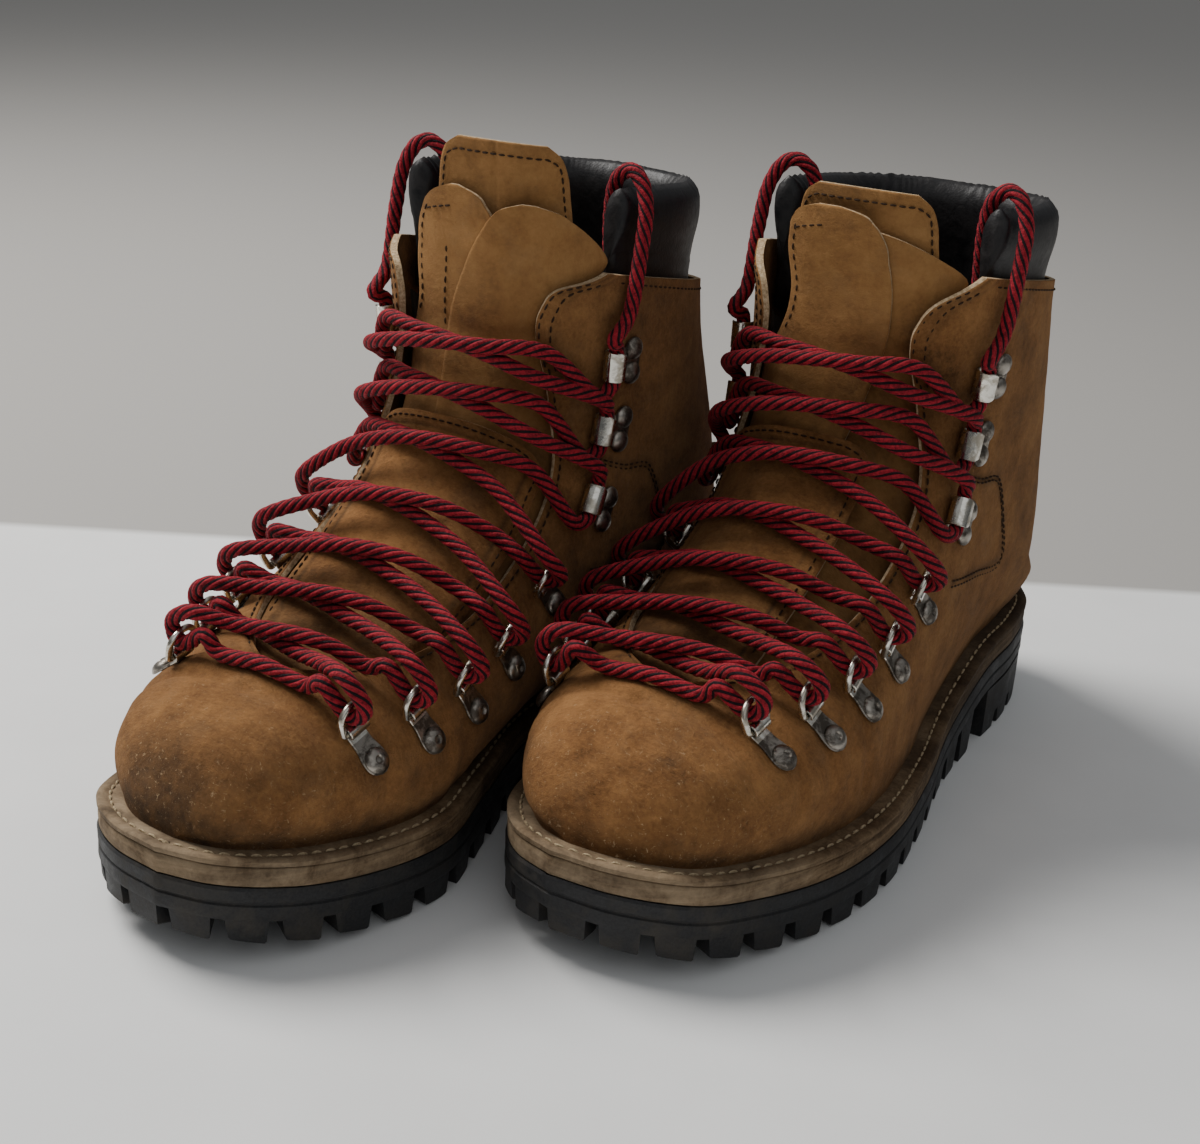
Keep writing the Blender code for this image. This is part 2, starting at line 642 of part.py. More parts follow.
def peg(seat, centre, along, radius, top, bottom, sides, mat, foot, home):
    ends = [np.array([seat.point(centre + radius * math.cos(2 * math.pi * k / sides),
                                 along + radius * math.sin(2 * math.pi * k / sides), height)
                      for k in range(sides)]) for height in (top, bottom)]
    return prism("peg", ends[0], ends[1], mat, foot, home)


def make_ring(name, seat, mat, foot, home):
    """D-shaped wire ring; its origin is on the straight bar, which is its hinge."""
    half, depth = RING_WIDTH / 2, RING_DEPTH
    bar = seat.point(0, 0, GAP + 2.3)
    reach = seat.centre * math.cos(RING_TILT) + seat.out * math.sin(RING_TILT)
    flat = [(-half, 0.0), (half, 0.0), (half, depth - 5.0)]
    flat += [(half * math.cos(v), depth - 4.6 + 4.6 * math.sin(v))
             for v in np.linspace(0.45, math.pi - 0.45, 5)]
    flat += [(-half, depth - 5.0)]
    centres = np.array([bar + seat.along * u + reach * v for u, v in flat])
    n, sides = len(centres), 5
    face_up = np.cross(seat.along, reach)
    points, faces = [], []
    for k in range(n):
        before, after = centres[k] - centres[k - 1], centres[(k + 1) % n] - centres[k]
        tangent = before / np.linalg.norm(before) + after / np.linalg.norm(after)
        tangent /= np.linalg.norm(tangent)
        cosine = float(tangent @ (after / np.linalg.norm(after)))
        across = np.cross(face_up, tangent)
        for m in range(sides):
            v = 2 * math.pi * (m + 0.5) / sides
            points.append(centres[k] + WIRE_RADIUS * (face_up * math.sin(v)
                                                      + across * math.cos(v) / cosine))
    for k in range(n):
        for m in range(sides):
            faces.append([k * sides + m, ((k + 1) % n) * sides + m,
                          ((k + 1) % n) * sides + (m + 1) % sides, k * sides + (m + 1) % sides])
    ring = add_mesh(name, points, faces, mat, foot, home)
    origin = to_world([bar], foot)[0]
    ring.data.transform(Matrix.Translation(-Vector(origin)))
    ring.location = origin
    return ring


def make_hardware(foot, mats, home, tools, upper, cutters):
    for side, word in ((1, "outer"), (-1, "inner")):
        line = [(THROAT_START + 0.012, RINGS[0][1])] + RINGS + HOOKS + [(0.775, HOOKS[-1][1])]
        places, arcs = [p[0] for p in line], [p[1] for p in line]

        def seat_line(s, places=places, arcs=arcs):
            return float(curve_through(s, places, arcs)) + 12.0

        strip_places = spread(places[0], places[-1], 10)
        left = (lambda s: side * (seat_line(s) - 3.0))
        right = (lambda s: side * (seat_line(s) + 3.0))
        row = patch(f"{foot}_hardware_{word}", strip_places, left, right, 2, -4.3, 1.1, mats["steel"],
                    foot, home)
        for k, (s, a) in enumerate(RINGS):
            seat = Seat(s, side * a)
            bent_plate(seat, curl(2.3, 0.8, -90, 150, 5, 15.0), 7.0, mats["steel"], foot, tools)
            rivet(seat, -12.0, 0.0, mats["steel"], foot, tools, True)
            peg(seat, -12.0, 0.0, 1.9, 2.0, -4.1, 7, mats["steel"], foot, cutters)
            make_ring(f"{foot}_ring_{word}_{k + 1}", seat, mats["nickel"], foot, home)
        for s, a in HOOKS:
            seat = Seat(s, side * a)
            bent_plate(seat, curl(HOOK_RADIUS, 0.8, -90, 110, 5, 13.0), 10.0, mats["steel"], foot, tools)
            rivet(seat, -12.0, 4.2, mats["steel"], foot, tools, False)
            rivet(seat, -12.0, -4.2, mats["steel"], foot, tools, True)
            peg(seat, -12.0, -4.2, 1.9, 2.0, -4.1, 7, mats["steel"], foot, cutters)
        boolean(row, tools, "UNION")
        empty(tools)
    boolean(upper, cutters, "DIFFERENCE")
    empty(cutters)


# ---- laces ----
def ring_turn(seat):
    """Lace through a ring: in under the bow, round it and out over it."""
    bow = (RING_DEPTH * math.cos(RING_TILT), GAP + 2.3 + RING_DEPTH * math.sin(RING_TILT))
    round_bow = [(bow[0] + r * math.cos(math.radians(v)), t, bow[1] + r * math.sin(math.radians(v)))
                 for v, r, t in ((-78, 4.4, -0.9), (-125, 4.4, -0.8), (-172, 4.5, 0), (140, 4.5, 0.7),
                                 (92, 4.5, 0.9))]
    return [seat.point(*p) for p in [(17, -1.2, 4.0)] + round_bow + [(15, 1.5, 11.6)]]


def hook_turn(seat):
    """Lace in at the bottom of a hook, along its channel and out at the top."""
    middle = GAP + HOOK_RADIUS
    return [seat.point(c, t, o) for c, t, o in (
        (6.5, -9.5, middle - 0.2), (1.4, -7.6, middle), (0, -5.0, middle), (0, 5.0, middle),
        (0.6, 7.2, middle), (4.6, 9.8, middle + 2.4))]


def crossing(low, high, side, over):
    """Surface points of a strand from one side of row low to the other side of row high."""
    (s0, a0), (s1, a1) = low, high
    heights = (10.2, 9.4, 9.0, 7.8, 5.2) if over else (7.4, 4.2, 3.7, 3.7, 3.8)
    points = []
    for u, out in zip((0.25, 0.38, 0.50, 0.63, 0.78), heights):
        a = side * (a0 + (-a1 - a0) * u)
        points.append(SURFACE.at(s0 + (s1 - s0) * u, a, out))
    return points


def climb(side, over):
    """Half of the lacing, from the lowest ring on one side up to its end inside the boot."""
    rows = RINGS + HOOKS
    points = []
    for k, (s, a) in enumerate(rows):
        seat = Seat(s, side * a)
        points += ring_turn(seat) if k < len(RINGS) else hook_turn(seat)
        if k + 1 < len(rows):
            points += crossing(rows[k], rows[k + 1], side, over)
            side, over = -side, not over
    for s, a, out in ((0.82, 60, 5.0), (0.90, 65, 4.2), (0.94, 68, 3.4), (0.961, 69.5, -0.4),
                      (0.9665, 70.5, -5.0), (0.957, 71.5, -10.8), (0.93, 72.5, -13.8), (0.82, 75, -13.5),
                      (0.73, 78, -12)):
        points.append(SURFACE.at(s, side * a, out))
    return points


def lace_route(foot):
    """Points of the whole lace, from one end to the other."""
    first = 1 if MIRRORED[foot] else -1
    rising, falling = climb(first, True), climb(-first, False)
    s, a = RINGS[0]
    bar = [SURFACE.at(s - 0.006, first * a * (1 - 2 * u), 4.2) for u in (0.75, 0.5, 0.25)]
    return falling[::-1] + bar + rising


def make_lace(foot, mats, home):
    curve = bpy.data.curves.new(f"{foot}_lace_path", "CURVE")
    curve.dimensions = "3D"
    curve.bevel_depth = LACE_RADIUS / 1000
    curve.bevel_resolution = 1
    curve.use_fill_caps = True
    points = to_world(lace_route(foot), foot)
    spline = curve.splines.new("POLY")
    spline.points.add(len(points) - 1)
    for knot, place in zip(spline.points, points):
        knot.co = (*place, 1)
    guide = bpy.data.objects.new("lace_guide", curve)
    home.objects.link(guide)
    bpy.context.view_layer.update()
    mesh = bpy.data.meshes.new_from_object(guide.evaluated_get(bpy.context.evaluated_depsgraph_get()))
    bpy.data.objects.remove(guide)
    bm = bmesh.new()
    bm.from_mesh(mesh)
    bmesh.ops.remove_doubles(bm, verts=bm.verts, dist=2e-6)
    bmesh.ops.recalc_face_normals(bm, faces=bm.faces)
    bm.to_mesh(mesh)
    bm.free()
    mesh.materials.clear()
    mesh.materials.append(mats["lace"])
    home.objects.link(bpy.data.objects.new(f"{foot}_lace", mesh))


def main():
    clear_scene()
    home = collection("hiking_boots")
    tools, cutters = collection("cutters"), collection("cutters_leather")
    for group in (tools, cutters):
        group.hide_render = True  # both are emptied again once their Booleans are applied
    mats = {
        "suede": material("suede_leather", (0.30, 0.165, 0.075), 0.9),
        "lining": material("lining_leather", (0.10, 0.07, 0.045), 0.8),
        "board": material("fibre_board", (0.33, 0.24, 0.15), 0.85),
        "midsole": material("leather_midsole", (0.16, 0.11, 0.07), 0.8),
        "rubber": material("sole_rubber", (0.02, 0.02, 0.02), 0.7),
        "collar": material("black_leather", (0.018, 0.017, 0.017), 0.5),
        "steel": material("dark_nickel", (0.24, 0.22, 0.20), 0.35, 1.0),
        "nickel": material("bright_nickel", (0.62, 0.60, 0.55), 0.25, 1.0),
        "lace": material("twisted_cord", (0.22, 0.012, 0.02), 0.8),
    }
    for foot in MIRRORED:
        make_bottom(foot, mats, home, tools)
        upper = make_leather(foot, mats, home)
        make_tongues(foot, mats, home)
        make_collar(foot, mats, home)
        make_hardware(foot, mats, home, tools, upper, cutters)
        make_lace(foot, mats, home)


main()
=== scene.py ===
"""Looks of a worn pair of lace-up leather hiking boots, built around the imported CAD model.

Both boots are drawn once, as the left boot, in millimetres: x runs to the outside of the foot, y to
the heel and z up. to_world() mirrors that drawing for the right boot, as the CAD source does.
"""
import math

import bpy
import numpy as np
from mathutils import Matrix, Vector, noise


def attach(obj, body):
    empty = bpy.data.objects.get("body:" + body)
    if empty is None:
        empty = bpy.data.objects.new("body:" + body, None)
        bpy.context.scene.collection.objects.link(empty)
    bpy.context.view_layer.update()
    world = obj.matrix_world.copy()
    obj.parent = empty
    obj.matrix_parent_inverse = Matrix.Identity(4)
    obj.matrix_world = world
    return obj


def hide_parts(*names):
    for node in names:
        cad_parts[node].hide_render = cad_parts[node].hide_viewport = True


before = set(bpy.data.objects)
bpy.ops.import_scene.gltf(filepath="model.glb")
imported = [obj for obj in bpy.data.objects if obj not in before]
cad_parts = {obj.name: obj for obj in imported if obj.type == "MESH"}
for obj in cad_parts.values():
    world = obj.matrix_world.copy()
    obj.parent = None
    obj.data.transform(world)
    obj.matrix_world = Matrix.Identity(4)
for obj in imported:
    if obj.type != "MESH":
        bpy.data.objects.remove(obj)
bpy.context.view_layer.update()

# ---- dimensions shared with the CAD source, in millimetres ----
PAIR_CENTRE = (-56.5, -34.5)
RIGHT_OFFSET = (-113.0, -69.0)
OUTLINE_OUTER = [(-11, -152), (9, -149), (30, -136), (43, -111), (53, -78), (55.5, -45), (50.5, -8),
                 (42, 32), (39, 70), (37.5, 105), (31, 132), (18, 148), (0, 152)]
OUTLINE_INNER = [(-11, -152), (-26.5, -146), (-41.5, -130), (-52.5, -103), (-57, -72), (-48, -38),
                 (-37, 0), (-34, 42), (-36.5, 75), (-38, 108), (-32, 134), (-18, 148), (0, 152)]
TOE_SPRING = 11.0
HEEL_RISE = 13.0
SOLE_TOP = 18.7
LUG_ROOT = 7.0
FEATHER = 29.0
WELT_LEDGE = 8.5
GAP = 0.3
LEATHER = 2.2
LACE_RADIUS = 2.3
DRAWN_LACE_RADIUS = 2.62
WIRE_RADIUS = 1.1
RING_WIDTH = 11.0
RING_DEPTH = 9.0
RING_TILT = math.radians(40)
HOOK_RADIUS = 3.9
SECTIONS = np.array([
    (-11.0, -143.2, 42, -143.2, 30, -9, -13, 0.60, 2.0),
    (-11.0, -142.0, 50, -142.0, 30, 4, -21, 0.60, 2.0),
    (-10.5, -138.5, 58, -138.5, 30, 14, -28, 0.60, 2.1),
    (-10.0, -131.5, 65, -131.5, 30, 26, -35, 0.62, 2.2),
    (-9.0, -120, 70, -120, 28, 34, -42, 0.64, 2.3),
    (-8.0, -103, 73.5, -102, 26, 42, -49, 0.66, 2.3),
    (-7.5, -84, 78, -80, 25, 46, -53, 0.68, 2.2),
    (-7.5, -64, 87, -55, 25, 48, -54, 0.66, 2.1),
    (-7.0, -44, 100, -24, 25, 46, -52, 0.62, 2.1),
    (-6.5, -27, 114, 15, 25, 43, -50, 0.56, 2.2),
    (-6.0, -17, 125, 62, 25, 42, -50, 0.50, 2.3),
    (-6.0, -12, 134, 105, 25, 41, -50, 0.44, 2.4),
    (-6.0, -9, 143, 139, 27, 41, -50, 0.42, 2.5),
    (-6.0, -7, 152, 144, 50, 41, -50, 0.42, 2.6),
    (-6.0, -6, 160, 141, 80, 41, -50, 0.42, 2.6),
    (-6.0, -6, 168, 132, 108, 42, -50, 0.42, 2.6),
    (-6.0, -6, 176, 122, 135, 43, -50, 0.44, 2.6),
    (-6.0, -6, 186, 114, 160, 43, -50, 0.46, 2.6),
    (-6.0, -7, 197, 111, 180, 43, -50, 0.48, 2.6),
    (-6.0, -8, 213, 110, 205, 42, -49, 0.48, 2.6),
    (-6.0, -9, 230, 109, 228, 41, -48, 0.48, 2.6),
], float)
STEP = 1.0 / (len(SECTIONS) - 1)
RINGS = [(0.260, 35.0), (0.314, 43.0), (0.360, 49.0), (0.404, 53.0), (0.456, 55.0)]
HOOKS = [(0.552, 59.0), (0.658, 57.0), (0.757, 57.0)]
UPPER_TOP = 0.885
COLLAR_TOP = 0.952
FLAP_TOP = 0.93
TONGUE = {"left": (-24.0, 38.0, 0.957), "right": (-44.0, 16.0, 0.985)}
COVER_TOP = 0.56
MIRRORED = {"left": False, "right": True}

# ---- dimensions of the visual model only ----
THROAT_START = 0.270
THROAT = [(0.270, 0), (0.274, 6), (0.282, 12), (0.30, 20), (0.325, 28), (0.36, 35), (0.405, 41),
          (0.456, 44), (0.555, 43), (0.66, 35), (0.75, 29), (0.80, 30), (0.84, 36), (0.865, 46), (0.90, 60)]
LINING_THROAT = 0.238
LUG_COUNT = 29
LUG_WIDTHS = (0.93, 0.78)
HEEL_BREAST = 78.0
EDGE_DROP = 0.35
COVER_WIDTH = {"left": (1.40, 0.82), "right": (1.42, 1.12)}
# How far the top line of each boot is lowered, as a share of the height along s.
TOP_DROP = {"left": -0.004, "right": 0.016}
# Creases across the vamp, as (s, distance from the ridge) on either side.
FOLDS = [[(0.262, 0), (0.272, 24), (0.276, 48), (0.262, 66)], [(0.305, 26), (0.312, 48), (0.300, 70)],
         [(0.345, 38), (0.352, 60), (0.345, 84)], [(0.232, 0), (0.236, 24), (0.226, 50)]]
STRAND_PAIRS = 5
LAY_LENGTH = 22.5
AGLET = 20.0
# One pair of strands: turns and radius shares of its points. The first four belong to the crimson strand.
STRAND_TURNS = np.array([0, 0.12, 0.31, 0.50, 0.62, 0.74, 0.88])
STRAND_RADII = [0.84, 0.97, 1.0, 0.97, 0.84, 0.92, 0.92]
CRIMSON_SIDES = 4
BACK_SEAM = [(0.605, 58), (0.625, 76), (0.65, 93), (0.62, 110), (0.585, 124), (0.54, 99), (0.50, 77)]


def curve_through(at, places, values):
    """Smooth curve through the given values, at one place or many."""
    places, values = np.asarray(places, float), np.asarray(values, float)
    at = np.clip(np.asarray(at, float), places[0], places[-1])
    gaps = np.diff(places)
    rises = np.diff(values) / gaps
    slopes = np.empty_like(values)
    slopes[1:-1] = (rises[1:] * gaps[:-1] + rises[:-1] * gaps[1:]) / (gaps[1:] + gaps[:-1])
    slopes[0], slopes[-1] = rises[0], rises[-1]
    i = np.clip(np.searchsorted(places, at, side="right") - 1, 0, len(gaps) - 1)
    h = gaps[i]
    t = (at - places[i]) / h
    return ((1 + 2 * t) * (1 - t) ** 2 * values[i] + t * (1 - t) ** 2 * h * slopes[i]
            + t * t * (3 - 2 * t) * values[i + 1] + t * t * (t - 1) * h * slopes[i + 1])


def table(at, pairs):
    return curve_through(at, [p[0] for p in pairs], [p[1] for p in pairs])


def smooth(value, low, high):
    t = np.clip((np.asarray(value, float) - low) / (high - low), 0, 1)
    return t * t * (3 - 2 * t)


def toe_lift(y):
    y = np.asarray(y, float)
    return np.where(y < -60, TOE_SPRING * ((y + 60) / 92) ** 2, 0.0)


def sole_lift(y):
    return toe_lift(y) + HEEL_RISE * smooth(y, 10, 90)


def outline_side(points, inset):
    """One side of the sole outline as dense x and y, moved inwards by inset."""
    p = np.array(points, float)
    along = np.r_[0, np.cumsum(np.linalg.norm(np.diff(p, axis=0), axis=1))]
    fine = np.linspace(0, along[-1], 400)
    x, y = curve_through(fine, along, p[:, 0]), curve_through(fine, along, p[:, 1])
    dx, dy = np.gradient(x), np.gradient(y)
    length = np.hypot(dx, dy)
    side = 1 if p[3, 0] > 0 else -1
    return x - side * dy / length * inset, y + side * dx / length * inset


def outline_x(points, y, inset):
    x, yy = outline_side(points, inset)
    order = np.argsort(yy)
    return np.interp(y, yy[order], x[order])


class Surface:
    """Outside of the upper, addressed by s (toe tip 0, top 1) and a (distance round from the ridge).

    The exact sections are sampled once into a fine grid, so that any number of addresses is fast.
    """
    S_STEP, COLUMNS = 0.0025, 260

    def __init__(self):
        self.rows = np.arange(0, 1 + self.S_STEP / 2, self.S_STEP)
        self.points, self.reaches, self.normals = {}, {}, {}
        self.first_closed = 1.0
        share = np.linspace(0, 1, self.COLUMNS)
        for side in (1, -1):
            grid, reach = [], []
            for s in self.rows:
                points, along, closed = self.section(s, side)
                if closed:
                    self.first_closed = min(self.first_closed, s)
                reach.append(along[-1])
                grid.append([np.interp(share * along[-1], along, points[:, k]) for k in range(3)])
            self.points[side] = np.array(grid).transpose(0, 2, 1)
            self.reaches[side] = np.array(reach)
        for side in (1, -1):
            self.normals[side] = self.find_normals(side, share)

    def section(self, s, side):
        fx, fy, fz, by, bz, x_out, x_in, widest, square = (
            float(curve_through(s, np.arange(len(SECTIONS)) * STEP, SECTIONS[:, k])) for k in range(9))
        back_x = fx * (1 - min(1.0, max(0.0, by) / 100))
        q = np.linspace(0, 1, 600)
        y, z = fy + (by - fy) * q, fz + (bz - fz) * q
        below = z < FEATHER + sole_lift(y)
        closed = not below.any()
        end = 1.0 if closed else q[np.argmax(below)]
        xw = x_out if side > 0 else x_in
        outline = OUTLINE_OUTER if side > 0 else OUTLINE_INNER
        xe = back_x if closed else float(outline_x(outline, fy + (by - fy) * end, WELT_LEDGE))
        bend = 2.0 / square
        t = np.linspace(0, math.pi / 2, 90)
        q1, x1 = widest * end * (1 - np.cos(t) ** bend), fx + (xw - fx) * np.sin(t) ** bend
        if closed:
            q2, x2 = widest + (1 - widest) * np.sin(t) ** bend, xe + (xw - xe) * np.cos(t) ** bend
        else:
            u = np.sin(t)
            heel = min(1.0, max(0.0, (fy + (by - fy) * end - 95) / 45))
            straight, rounded = u ** 2.2, 1 - (1 - u ** square) ** (1 / square)
            q2 = end * (widest + (1 - widest) * u)
            x2 = xw + (xe - xw) * (straight + (rounded - straight) * heel)
        q, x = np.r_[q1, q2[1:]], np.r_[x1, x2[1:]]
        points = np.stack([x, fy + (by - fy) * q, fz + (bz - fz) * q], 1)
        steps = np.linalg.norm(np.diff(points, axis=0), axis=1)
        return points, np.r_[0, np.cumsum(steps)], closed

    def find_normals(self, side, share):
        s = np.repeat(self.rows[:, None], self.COLUMNS, axis=1)
        low, high = np.clip(s - 0.006, 0, 1), np.clip(s + 0.006, 0, 1)
        limit = np.minimum(np.minimum(self.reach(low, side), self.reach(high, side)), self.reach(s, side))
        a = side * np.minimum(share * self.reach(s, side), limit - 0.8)
        n = np.cross(self.on(s, a + 0.7) - self.on(s, a - 0.7), self.on(high, a) - self.on(low, a))
        n /= np.maximum(np.linalg.norm(n, axis=-1, keepdims=True), 1e-9)
        near = int(round(0.10 / self.S_STEP))
        for i in range(near):
            blend = n[near] * (i / near) + np.array([0.0, -1.0, 0.1]) * (1 - i / near)
            n[i] = blend / np.linalg.norm(blend, axis=-1, keepdims=True)
        return n

    def reach(self, s, side):
        return np.interp(s, self.rows, self.reaches[side])

    def lookup(self, grids, s, a):
        s, a = np.broadcast_arrays(np.asarray(s, float), np.asarray(a, float))
        i = np.clip((s / self.S_STEP).astype(int), 0, len(self.rows) - 2)
        t = np.clip(s / self.S_STEP - i, 0, 1)[..., None]
        found = np.empty(s.shape + (3,))
        for side in (1, -1):
            here = (a >= 0) if side > 0 else (a < 0)
            if not here.any():
                continue
            u = np.clip(np.abs(a) / self.reach(s, side), 0, 1) * (self.COLUMNS - 1)
            j = np.clip(u.astype(int), 0, self.COLUMNS - 2)
            v = (u - j)[..., None]
            g = grids[side]
            value = ((g[i, j] * (1 - v) + g[i, j + 1] * v) * (1 - t)
                     + (g[i + 1, j] * (1 - v) + g[i + 1, j + 1] * v) * t)
            found[here] = value[here]
        return found

    def on(self, s, a):
        return self.lookup(self.points, s, a)

    def normal(self, s, a):
        n = self.lookup(self.normals, s, a)
        return n / np.linalg.norm(n, axis=-1, keepdims=True)

    def at(self, s, a, out=0.0):
        out = np.asarray(out, float)
        return self.on(s, a) + self.normal(s, a) * out[..., None]


SURFACE = Surface()


def throat(s):
    return np.where(np.asarray(s) < THROAT_START, 0.0, table(s, THROAT))


# ---- meshes ----
def to_world(points, foot):
    """Left-boot drawing points in millimetres to scene metres."""
    p = np.array(points, float).reshape(-1, 3).copy()
    if MIRRORED[foot]:
        p[:, 0] = RIGHT_OFFSET[0] - p[:, 0]
        p[:, 1] += RIGHT_OFFSET[1]
    p[:, 0] -= PAIR_CENTRE[0]
    p[:, 1] -= PAIR_CENTRE[1]
    return p / 1000


def piece(name, parts, mats, foot, node_names=(), body=None, values=None, sharp=40):
    """One object from (points, faces, material index per face) parts, turned to face outwards."""
    points = np.concatenate([np.asarray(p[0], float).reshape(-1, 3) for p in parts])
    faces, kinds, first = [], [], 0
    for p in parts:
        faces += [[first + k for k in f] for f in p[1]]
        kinds += list(p[2]) if hasattr(p[2], "__len__") else [p[2]] * len(p[1])
        first += len(np.asarray(p[0]).reshape(-1, 3))
    mesh = bpy.data.meshes.new(name)
    mesh.from_pydata(to_world(points, foot).tolist(), [], faces)
    for mat in mats:
        mesh.materials.append(mat)
    mesh.polygons.foreach_set("material_index", np.array(kinds, np.int32))
    mesh.polygons.foreach_set("use_smooth", np.ones(len(faces), bool))
    if MIRRORED[foot]:
        mesh.flip_normals()
    mesh.set_sharp_from_angle(angle=math.radians(sharp))
    for key, data in (values or {}).items():
        layer = mesh.attributes.new(key, "FLOAT", "POINT")
        layer.data.foreach_set("value", np.asarray(data, np.float32).ravel())
    mesh.update()
    obj = bpy.data.objects.new(name, mesh)
    bpy.context.scene.collection.objects.link(obj)
    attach(obj, body or f"{foot}_boot")
    if node_names:
        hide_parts(*node_names)
    return obj


def turned_out(points, faces):
    """The faces of a closed shape, reversed if they face inwards."""
    p = np.asarray(points, float)
    total = 0.0
    for f in faces:
        for k in range(1, len(f) - 1):
            total += float(np.dot(p[f[0]], np.cross(p[f[k]], p[f[k + 1]])))
    return [list(f)[::-1] for f in faces] if total < 0 else [list(f) for f in faces]


def skin(outer, inner, holes=None, ring=None, point=False, rim=1, joined=None):
    """Closed leather between two grids of points: faces of the skins are kind 0, of the cut rim kind 1."""
    rows, cols = outer.shape[:2]
    index = np.arange(rows * cols).reshape(rows, cols)
    if ring is not None:
        index[ring, cols - 1] = index[ring, 0]
    if joined is not None:
        left, right, below = joined
        index[below, right] = index[below, left]
    if point:
        index[0] = index[0, 0]
        outer[0], inner[0] = outer[0].mean(axis=0), inner[0].mean(axis=0)
    layer = rows * cols
    faces, kinds, edges = [], [], {}
    for i in range(rows - 1):
        for j in range(cols - 1):
            if holes is not None and holes[i, j]:
                continue
            quad = [int(index[i, j]), int(index[i, j + 1]), int(index[i + 1, j + 1]), int(index[i + 1, j])]
            loop = [v for k, v in enumerate(quad) if v != quad[k - 1]]
            if len(loop) < 3 or len(set(loop)) < len(loop):
                continue
            faces += [loop, [v + layer for v in reversed(loop)]]
            kinds += [0, 0]
            for k, v in enumerate(loop):
                edge = (v, loop[(k + 1) % len(loop)])
                edges.setdefault((min(edge), max(edge)), []).append(edge)
    for used in edges.values():
        if len(used) == 1:
            p, q = used[0]
            faces.append([q, p, p + layer, q + layer])
            kinds.append(rim)
    points = np.concatenate([outer.reshape(-1, 3), inner.reshape(-1, 3)])
    return points, faces, kinds


def spaced(first, last, step):
    """Places from first to last with one more just inside each end, for a rounded edge."""
    n = max(2, int(round(abs(last - first) / step)))
    t = np.linspace(0, 1, n + 1)
    e = 0.25 / n
    return first + (last - first) * np.r_[0, e, t[1:-1], 1 - e, 1]


def strip(rings, sides, looped=False):
    """Quads between rings of points that follow each other. looped joins the last ring to the first."""
    count = rings if looped else rings - 1
    return [[i * sides + k, i * sides + (k + 1) % sides, (i + 1) % rings * sides + (k + 1) % sides,
             (i + 1) % rings * sides + k] for i in range(count) for k in range(sides)]


def end_caps(rings, sides):
    return [list(range(sides))[::-1], [(rings - 1) * sides + k for k in range(sides)]]


def loft(rings):
    """Closed solid through rings of points, with flat ends."""
    points, count, sides = np.concatenate(rings), len(rings), len(rings[0])
    return points, turned_out(points, strip(count, sides) + end_caps(count, sides)), 0


def both_skins(values):
    """Values of the outer skin and again of the inner one, kept within 0 to 1."""
    return np.tile(np.clip(values, 0, 1).ravel(), 2)


def tangents(path, closed=False):
    p = np.asarray(path, float)
    if closed:
        d = np.roll(p, -1, axis=0) - np.roll(p, 1, axis=0)
    else:
        d = np.gradient(p, axis=0)
    return d / np.maximum(np.linalg.norm(d, axis=1, keepdims=True), 1e-9)


def carried(path, start=None):
    """Two side vectors at each point of a path, carried along it without twisting."""
    t = tangents(path)
    first = np.asarray(start if start is not None else (0, 0, 1), float)
    if abs(float(first @ t[0])) > 0.95:
        first = np.array([1.0, 0, 0])
    side = np.empty_like(t)
    v = first
    for i, tangent in enumerate(t):
        v = v - tangent * float(v @ tangent)
        v = v / np.linalg.norm(v)
        side[i] = v
    return side, np.cross(t, side)


def resample(path, step):
    """Smooth curve through the points, sampled evenly."""
    p = np.asarray(path, float)
    along = np.r_[0, np.cumsum(np.sqrt(np.linalg.norm(np.diff(p, axis=0), axis=1)))]
    fine = np.linspace(0, along[-1], len(p) * 24)
    q = np.stack([curve_through(fine, along, p[:, k]) for k in range(3)], 1)
    length = np.r_[0, np.cumsum(np.linalg.norm(np.diff(q, axis=0), axis=1))]
    even = np.linspace(0, length[-1], int(length[-1] / step) + 1)
    return np.stack([np.interp(even, length, q[:, k]) for k in range(3)], 1)


def tube(path, radius, sides, start=None, scale=None):
    """Tube round a path. scale is the share of the radius at each point."""
    u, v = carried(path, start)
    ring = np.arange(sides) * 2 * math.pi / sides
    size = np.ones(len(path)) if scale is None else scale
    points = (np.asarray(path)[:, None] + u[:, None] * (np.cos(ring) * radius * size[:, None])[..., None]
              + v[:, None] * (np.sin(ring) * radius * size[:, None])[..., None])
    return points.reshape(-1, 3), strip(len(path), sides) + end_caps(len(path), sides)


def closed_tube(path, radius, sides, up):
    """Ring of wire in one plane with normal up."""
    t = tangents(path, closed=True)
    up = np.asarray(up, float) / np.linalg.norm(up)
    across = np.cross(up, t)
    ring = np.arange(sides) * 2 * math.pi / sides
    points = (np.asarray(path)[:, None] + radius * (np.cos(ring)[None, :, None] * across[:, None]
                                                   + np.sin(ring)[None, :, None] * up))
    points = points.reshape(-1, 3)
    return points, turned_out(points, strip(len(path), sides, looped=True))


def stitch_row(points, normals, length=2.3, gap=0.9, radius=0.36, rise=0.25):
    """Separate threads along a line on the surface, each one dipping into the leather at its ends."""
    along = np.r_[0, np.cumsum(np.linalg.norm(np.diff(points, axis=0), axis=1))]
    count = max(1, int((along[-1] + gap) / (length + gap)))
    sides, size = 6, np.array([0.35, 0.9, 1.0, 1.0, 0.9, 0.35])
    parts = []
    for k in range(count):
        d = np.linspace(0, length, len(size)) + k * (along[-1] - length) / max(1, count - 1)
        p = np.stack([np.interp(d, along, points[:, m]) for m in range(3)], 1)
        n = np.stack([np.interp(d, along, normals[:, m]) for m in range(3)], 1)
        p = p + n * (rise * np.sin(np.linspace(0, math.pi, len(size))) - 0.15)[:, None]
        made, faces = tube(p, radius, sides, start=n[0], scale=size)
        parts.append((made, faces, 0))
    return parts


